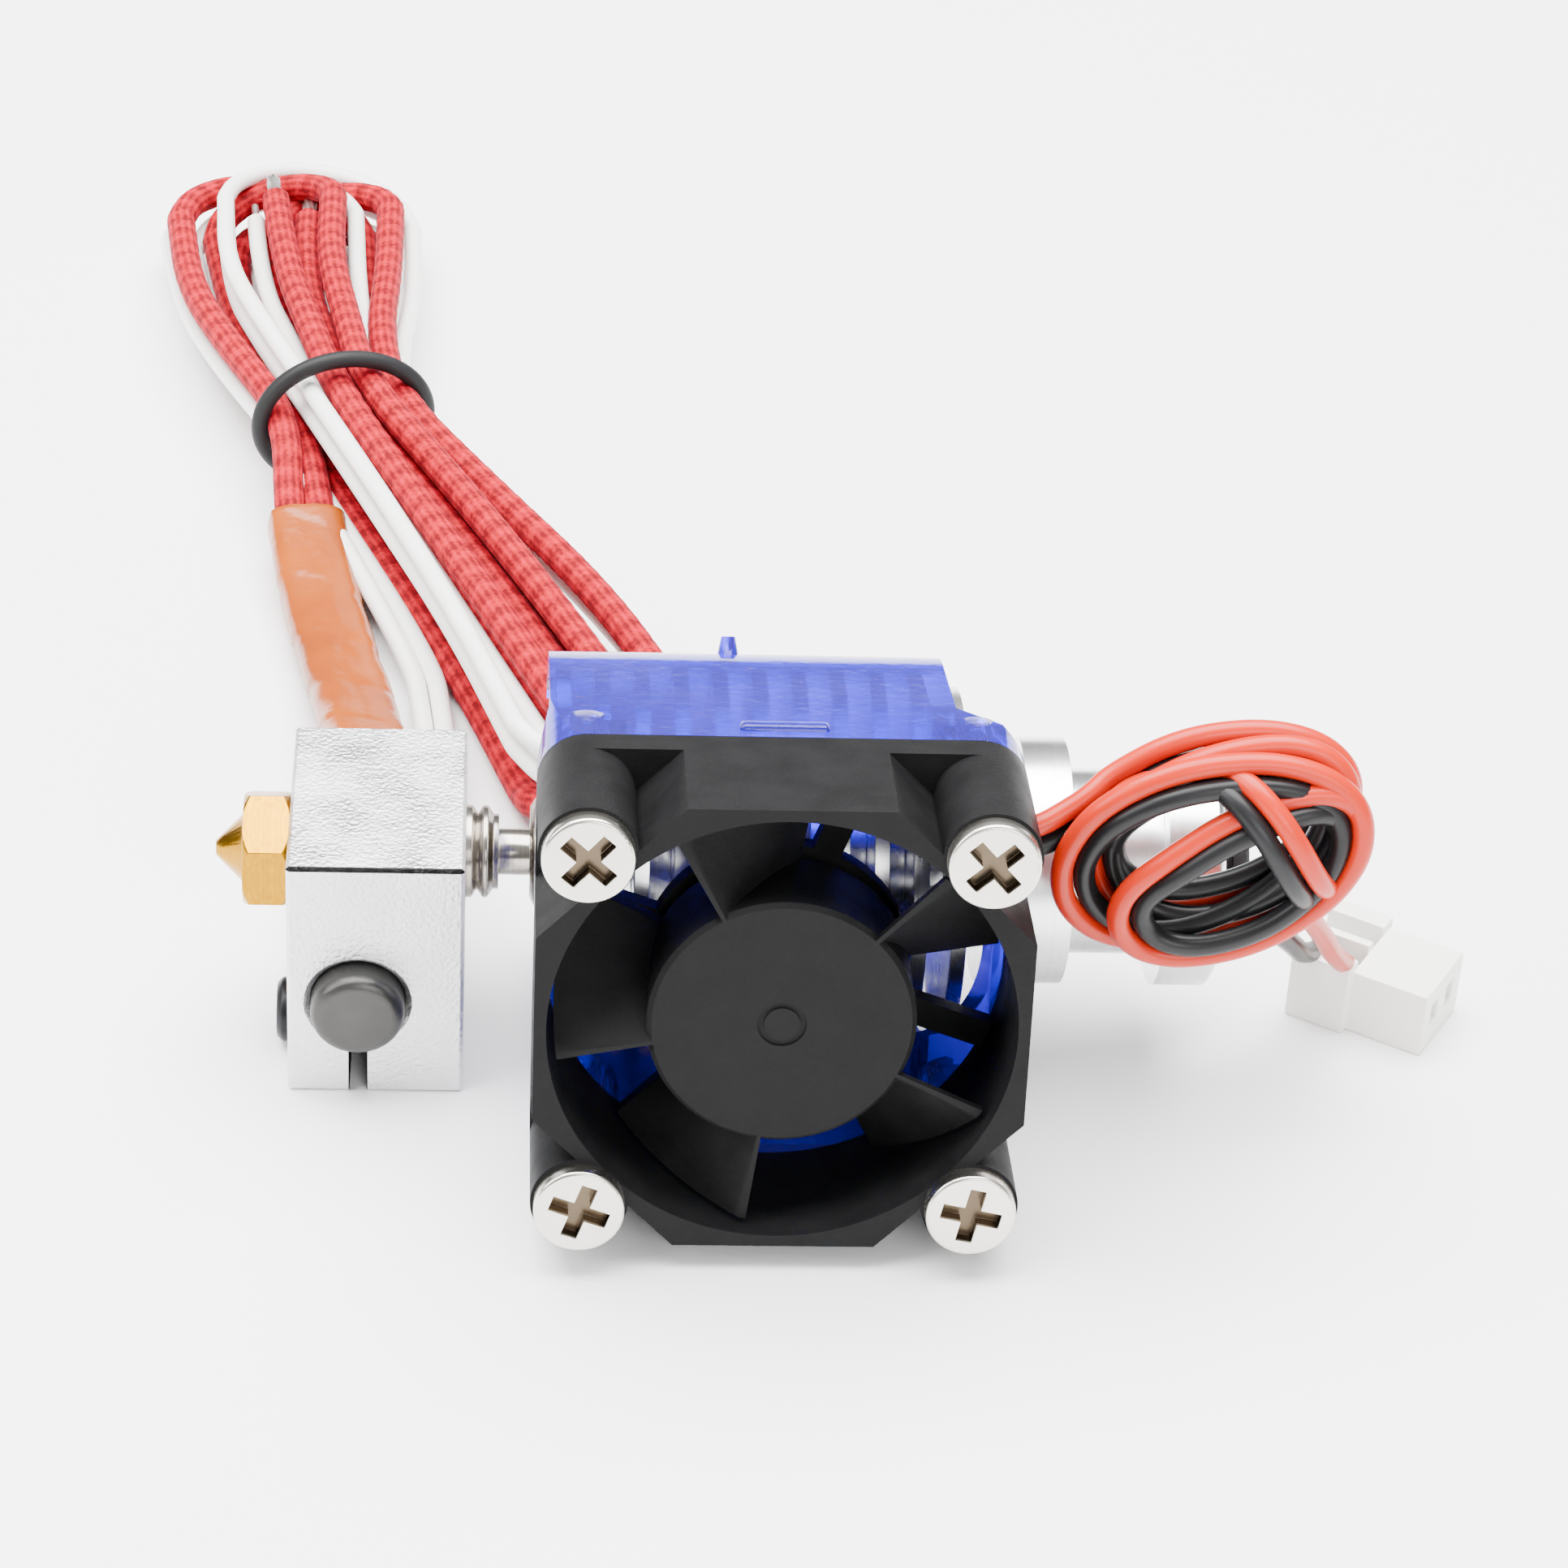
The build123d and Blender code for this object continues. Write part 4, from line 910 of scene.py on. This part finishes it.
# Fasteners on the block: the black clamp screw across the slit, and the zinc screw and washer
# that hold the thermistor.
blackened_steel = speckled(
    "blackened_steel", (0.008, 0.008, 0.009), (0.03, 0.03, 0.033), 0.38, 0.9, grain=500
)[0]
zinc_steel = speckled("zinc_steel", (0.50, 0.51, 0.53), (0.78, 0.79, 0.80), 0.30, 1.0, grain=500)[0]
clamp_screw = worked_copy("clamp_screw", "slit_screw")
finish_edges(clamp_screw, 0.08)
dress(clamp_screw, blackened_steel, "clamp_screw")
for node, name in (("thermistor_screw", "sensor_screw"), ("thermistor_washer", "sensor_washer")):
    fixing = worked_copy(node, name)
    finish_edges(fixing, 0.06)
    dress(fixing, zinc_steel, node)
bead_glass = speckled("bead_glass", (0.30, 0.10, 0.03), (0.55, 0.22, 0.08), 0.08, grain=200)[0]
bead = worked_copy("thermistor_bead", "sensor_bead")
finish_edges(bead, smooth_angle=60)
dress(bead, bead_glass, "thermistor_bead")

# Filament tube: a white fluoropolymer liner. It is held by the collet and reaches through the
# heatsink down to the heatbreak, out of sight.
liner_white = speckled("liner_white", (0.84, 0.84, 0.82), (0.92, 0.92, 0.90), 0.35, grain=300)[0]
liner = worked_copy("tube_liner", "filament_tube")
finish_edges(liner, 0.05)
dress(liner, liner_white, "tube_liner")

# Fan frame: one moulding in black plastic with a fine spark-eroded texture. Its four corner
# posts take the screws that hold it to the duct.
fan_plastic = speckled(
    "fan_plastic",
    (0.0035, 0.0035, 0.0038),
    (0.010, 0.010, 0.0105),
    0.52,
    grain=1200,
    relief=0.00003,
    shine=0.08,
)[0]
fan_frame = worked_copy("fan_frame", "fan_housing")
finish_edges(fan_frame, 0.16)
dress(fan_frame, fan_plastic, "fan_frame")

# Fan motor, behind the impeller: a steel stator wound with copper on a small board, round a
# pressed brass sleeve. The shaft, its clip, the magnet and the steel yoke turn with the blades.
board_green = speckled("board_green", (0.01, 0.10, 0.03), (0.02, 0.20, 0.06), 0.4, grain=500)[0]
motor_steel = speckled("motor_steel", (0.42, 0.42, 0.43), (0.66, 0.66, 0.67), 0.35, 1.0, grain=500)[0]
coil_copper = speckled(
    "coil_copper", (0.55, 0.20, 0.07), (0.86, 0.42, 0.22), 0.30, 1.0, grain=800, relief=0.0001
)[0]
label_paper = speckled("label_paper", (0.55, 0.56, 0.58), (0.66, 0.67, 0.69), 0.6, grain=400)[0]
ferrite = speckled("ferrite", (0.02, 0.02, 0.02), (0.05, 0.05, 0.05), 0.7, grain=800)[0]
nylon = speckled("nylon", (0.78, 0.77, 0.72), (0.88, 0.87, 0.83), 0.4, grain=400)[0]
for node, name, material, slot, width, body in (
    ("fan_circuit_board", "driver_board", board_green, "board_green", 0.05, "hotend"),
    ("stator_core", "stator_stack", motor_steel, "steel_plain", 0.05, "hotend"),
    ("stator_coils", "stator_windings", coil_copper, "copper_wire", 0.3, "hotend"),
    ("sleeve_bearing", "bearing_sleeve", turned_brass, "brass", 0.05, "hotend"),
    ("fan_label", "motor_label", label_paper, "label_paper", 0.0, "hotend"),
    ("rotor_yoke", "yoke_cup", motor_steel, "steel_plain", 0.05, "rotor"),
    ("rotor_magnet", "magnet_ring", ferrite, "magnet_black", 0.1, "rotor"),
    ("rotor_shaft", "shaft_pin", motor_steel, "steel_plain", 0.05, "rotor"),
    ("shaft_clip", "shaft_ring", nylon, "nylon", 0.05, "rotor"),
):
    motor_part = worked_copy(node, name)
    finish_edges(motor_part, width)
    dress(motor_part, material, node, body)

# Impeller: one black moulding in the frame's plastic, a cup hub with five twisted blades. It is
# pressed over the motor's yoke and turns with it.
impeller = worked_copy("impeller", "fan_blades", flat_angle=0.5)
finish_edges(impeller, 0.10, edge_angle=50)
dress(impeller, fan_plastic, "impeller", "rotor")

# Fan screws: four nickel-plated pan heads with a cross recess, painted dark inside as shade. They go
# through the fan's corners and cut their own thread in the duct.
FAN_LEAN = 8.0
FAN_MIDDLE_X = -22.2
SCREW_FROM_MIDDLE = 12.0
RECESS_REACH = 2.15
RECESS_MIDDLE_Y = -24.05
RECESS_HALF_DEPTH = 0.42
# Painted shade: a dark brown colour laid inside the cross recesses.
RECESS_PAINTED_SHADE = (0.10, 0.075, 0.05, 1)
nickel, nodes, links, shader = speckled(
    "nickel", (0.56, 0.53, 0.47), (0.76, 0.74, 0.68), 0.28, 1.0, grain=420, relief=0.00001
)
place = nodes.new("ShaderNodeTexCoord")
upright = nodes.new("ShaderNodeMapping")
upright.inputs["Location"].default_value = (-FAN_MIDDLE_X * MM, 0, 0)
upright.inputs["Rotation"].default_value = (math.radians(FAN_LEAN), 0, 0)
links.new(place.outputs["Object"], upright.inputs["Vector"])
split = nodes.new("ShaderNodeSeparateXYZ")
links.new(upright.outputs[0], split.inputs[0])
from_screw = nodes.new("ShaderNodeCombineXYZ")
for axis in ("X", "Z"):
    folded = nodes.new("ShaderNodeMath")
    folded.operation = "ABSOLUTE"
    links.new(split.outputs[axis], folded.inputs[0])
    centred = nodes.new("ShaderNodeMath")
    centred.operation = "SUBTRACT"
    centred.inputs[1].default_value = SCREW_FROM_MIDDLE * MM
    links.new(folded.outputs[0], centred.inputs[0])
    links.new(centred.outputs[0], from_screw.inputs[axis])
reach = nodes.new("ShaderNodeVectorMath")
reach.operation = "LENGTH"
links.new(from_screw.outputs[0], reach.inputs[0])
inner = within(nodes, links, reach.outputs["Value"], 0.0, RECESS_REACH * MM)
deep = within(nodes, links, split.outputs["Y"], RECESS_MIDDLE_Y * MM, RECESS_HALF_DEPTH * MM)
# Paints the shade inside the cross recesses.
lay_painted_shade(nodes, links, shader, both(nodes, links, inner, deep), RECESS_PAINTED_SHADE)
screws = worked_copy("fan_screws", "corner_screws")
finish_edges(screws, 0.08)
dress(screws, nickel, "fan_screws")

# Duct: one injection moulding in clear blue plastic. It springs round the fins and carries the
# fan on its flat front plate.
duct_blue, nodes, links, shader = speckled(
    "duct_blue", (0.05, 0.025, 0.60), (0.10, 0.07, 0.82), 0.10, grain=240, relief=0.00003, spread=0.06
)
shader.inputs["Transmission Weight"].default_value = 0.82
shader.inputs["Specular IOR Level"].default_value = 0.3
shader.inputs["IOR"].default_value = 1.36
depth_tint = nodes.new("ShaderNodeVolumeAbsorption")
depth_tint.inputs["Color"].default_value = (0.22, 0.10, 0.93, 1)
depth_tint.inputs["Density"].default_value = 900
links.new(depth_tint.outputs[0], nodes["Material Output"].inputs["Volume"])
duct = worked_copy("fan_duct", "clear_duct")

# Moulding marks: a low bar on the duct's roof behind the fan, and the snipped gate at the back
# of the roof. Both are part of the same clear blue moulding, so they are joined into it.
BAR_PLACE = (-22.15, -9.75, 16.25)
BAR_SIZE = (5.5, 1.1, 0.9)
BAR_ROUND = 0.3
BAR_LEAN = -15.9
GATE_PLACE = (-24.8, 7.7, 10.95)
GATE_RADII = (0.75, 0.45)
GATE_HEIGHT = 1.5
GATE_LEAN = -34

start_fresh()
bpy.ops.mesh.primitive_cube_add(size=1.0, location=[MM * value for value in BAR_PLACE])
bar = bpy.context.object
bpy.ops.object.mode_set(mode="EDIT")
bpy.ops.transform.resize(value=[MM * value for value in BAR_SIZE], center_override=bar.location)
bpy.ops.mesh.bevel(offset=BAR_ROUND * MM, segments=3, affect="EDGES")
bpy.ops.object.mode_set(mode="OBJECT")
bar.rotation_euler = (math.radians(BAR_LEAN), 0, 0)
start_fresh()
bpy.ops.mesh.primitive_cone_add(
    vertices=20,
    radius1=GATE_RADII[0] * MM,
    radius2=GATE_RADII[1] * MM,
    depth=GATE_HEIGHT * MM,
    location=[MM * value for value in GATE_PLACE],
    rotation=(math.radians(GATE_LEAN), 0, 0),
)
gate = bpy.context.object
for mark in (bar, gate):
    take_up(mark)
    bpy.ops.object.transform_apply(location=True, rotation=True, scale=True)
    bpy.ops.object.shade_smooth_by_angle(angle=math.radians(40))
    take_up(duct)
    union = duct.modifiers.new("moulded", "BOOLEAN")
    union.operation = "UNION"
    union.object = mark
    bpy.ops.object.modifier_apply(modifier="moulded")
    bpy.data.objects.remove(mark)
take_up(duct)
bpy.ops.object.mode_set(mode="EDIT")
bpy.ops.mesh.select_all(action="SELECT")
bpy.ops.mesh.dissolve_limited(angle_limit=math.radians(0.6))
bpy.ops.object.mode_set(mode="OBJECT")
finish_edges(duct, 0.14, smooth_angle=32)
dress(duct, duct_blue, "fan_duct")
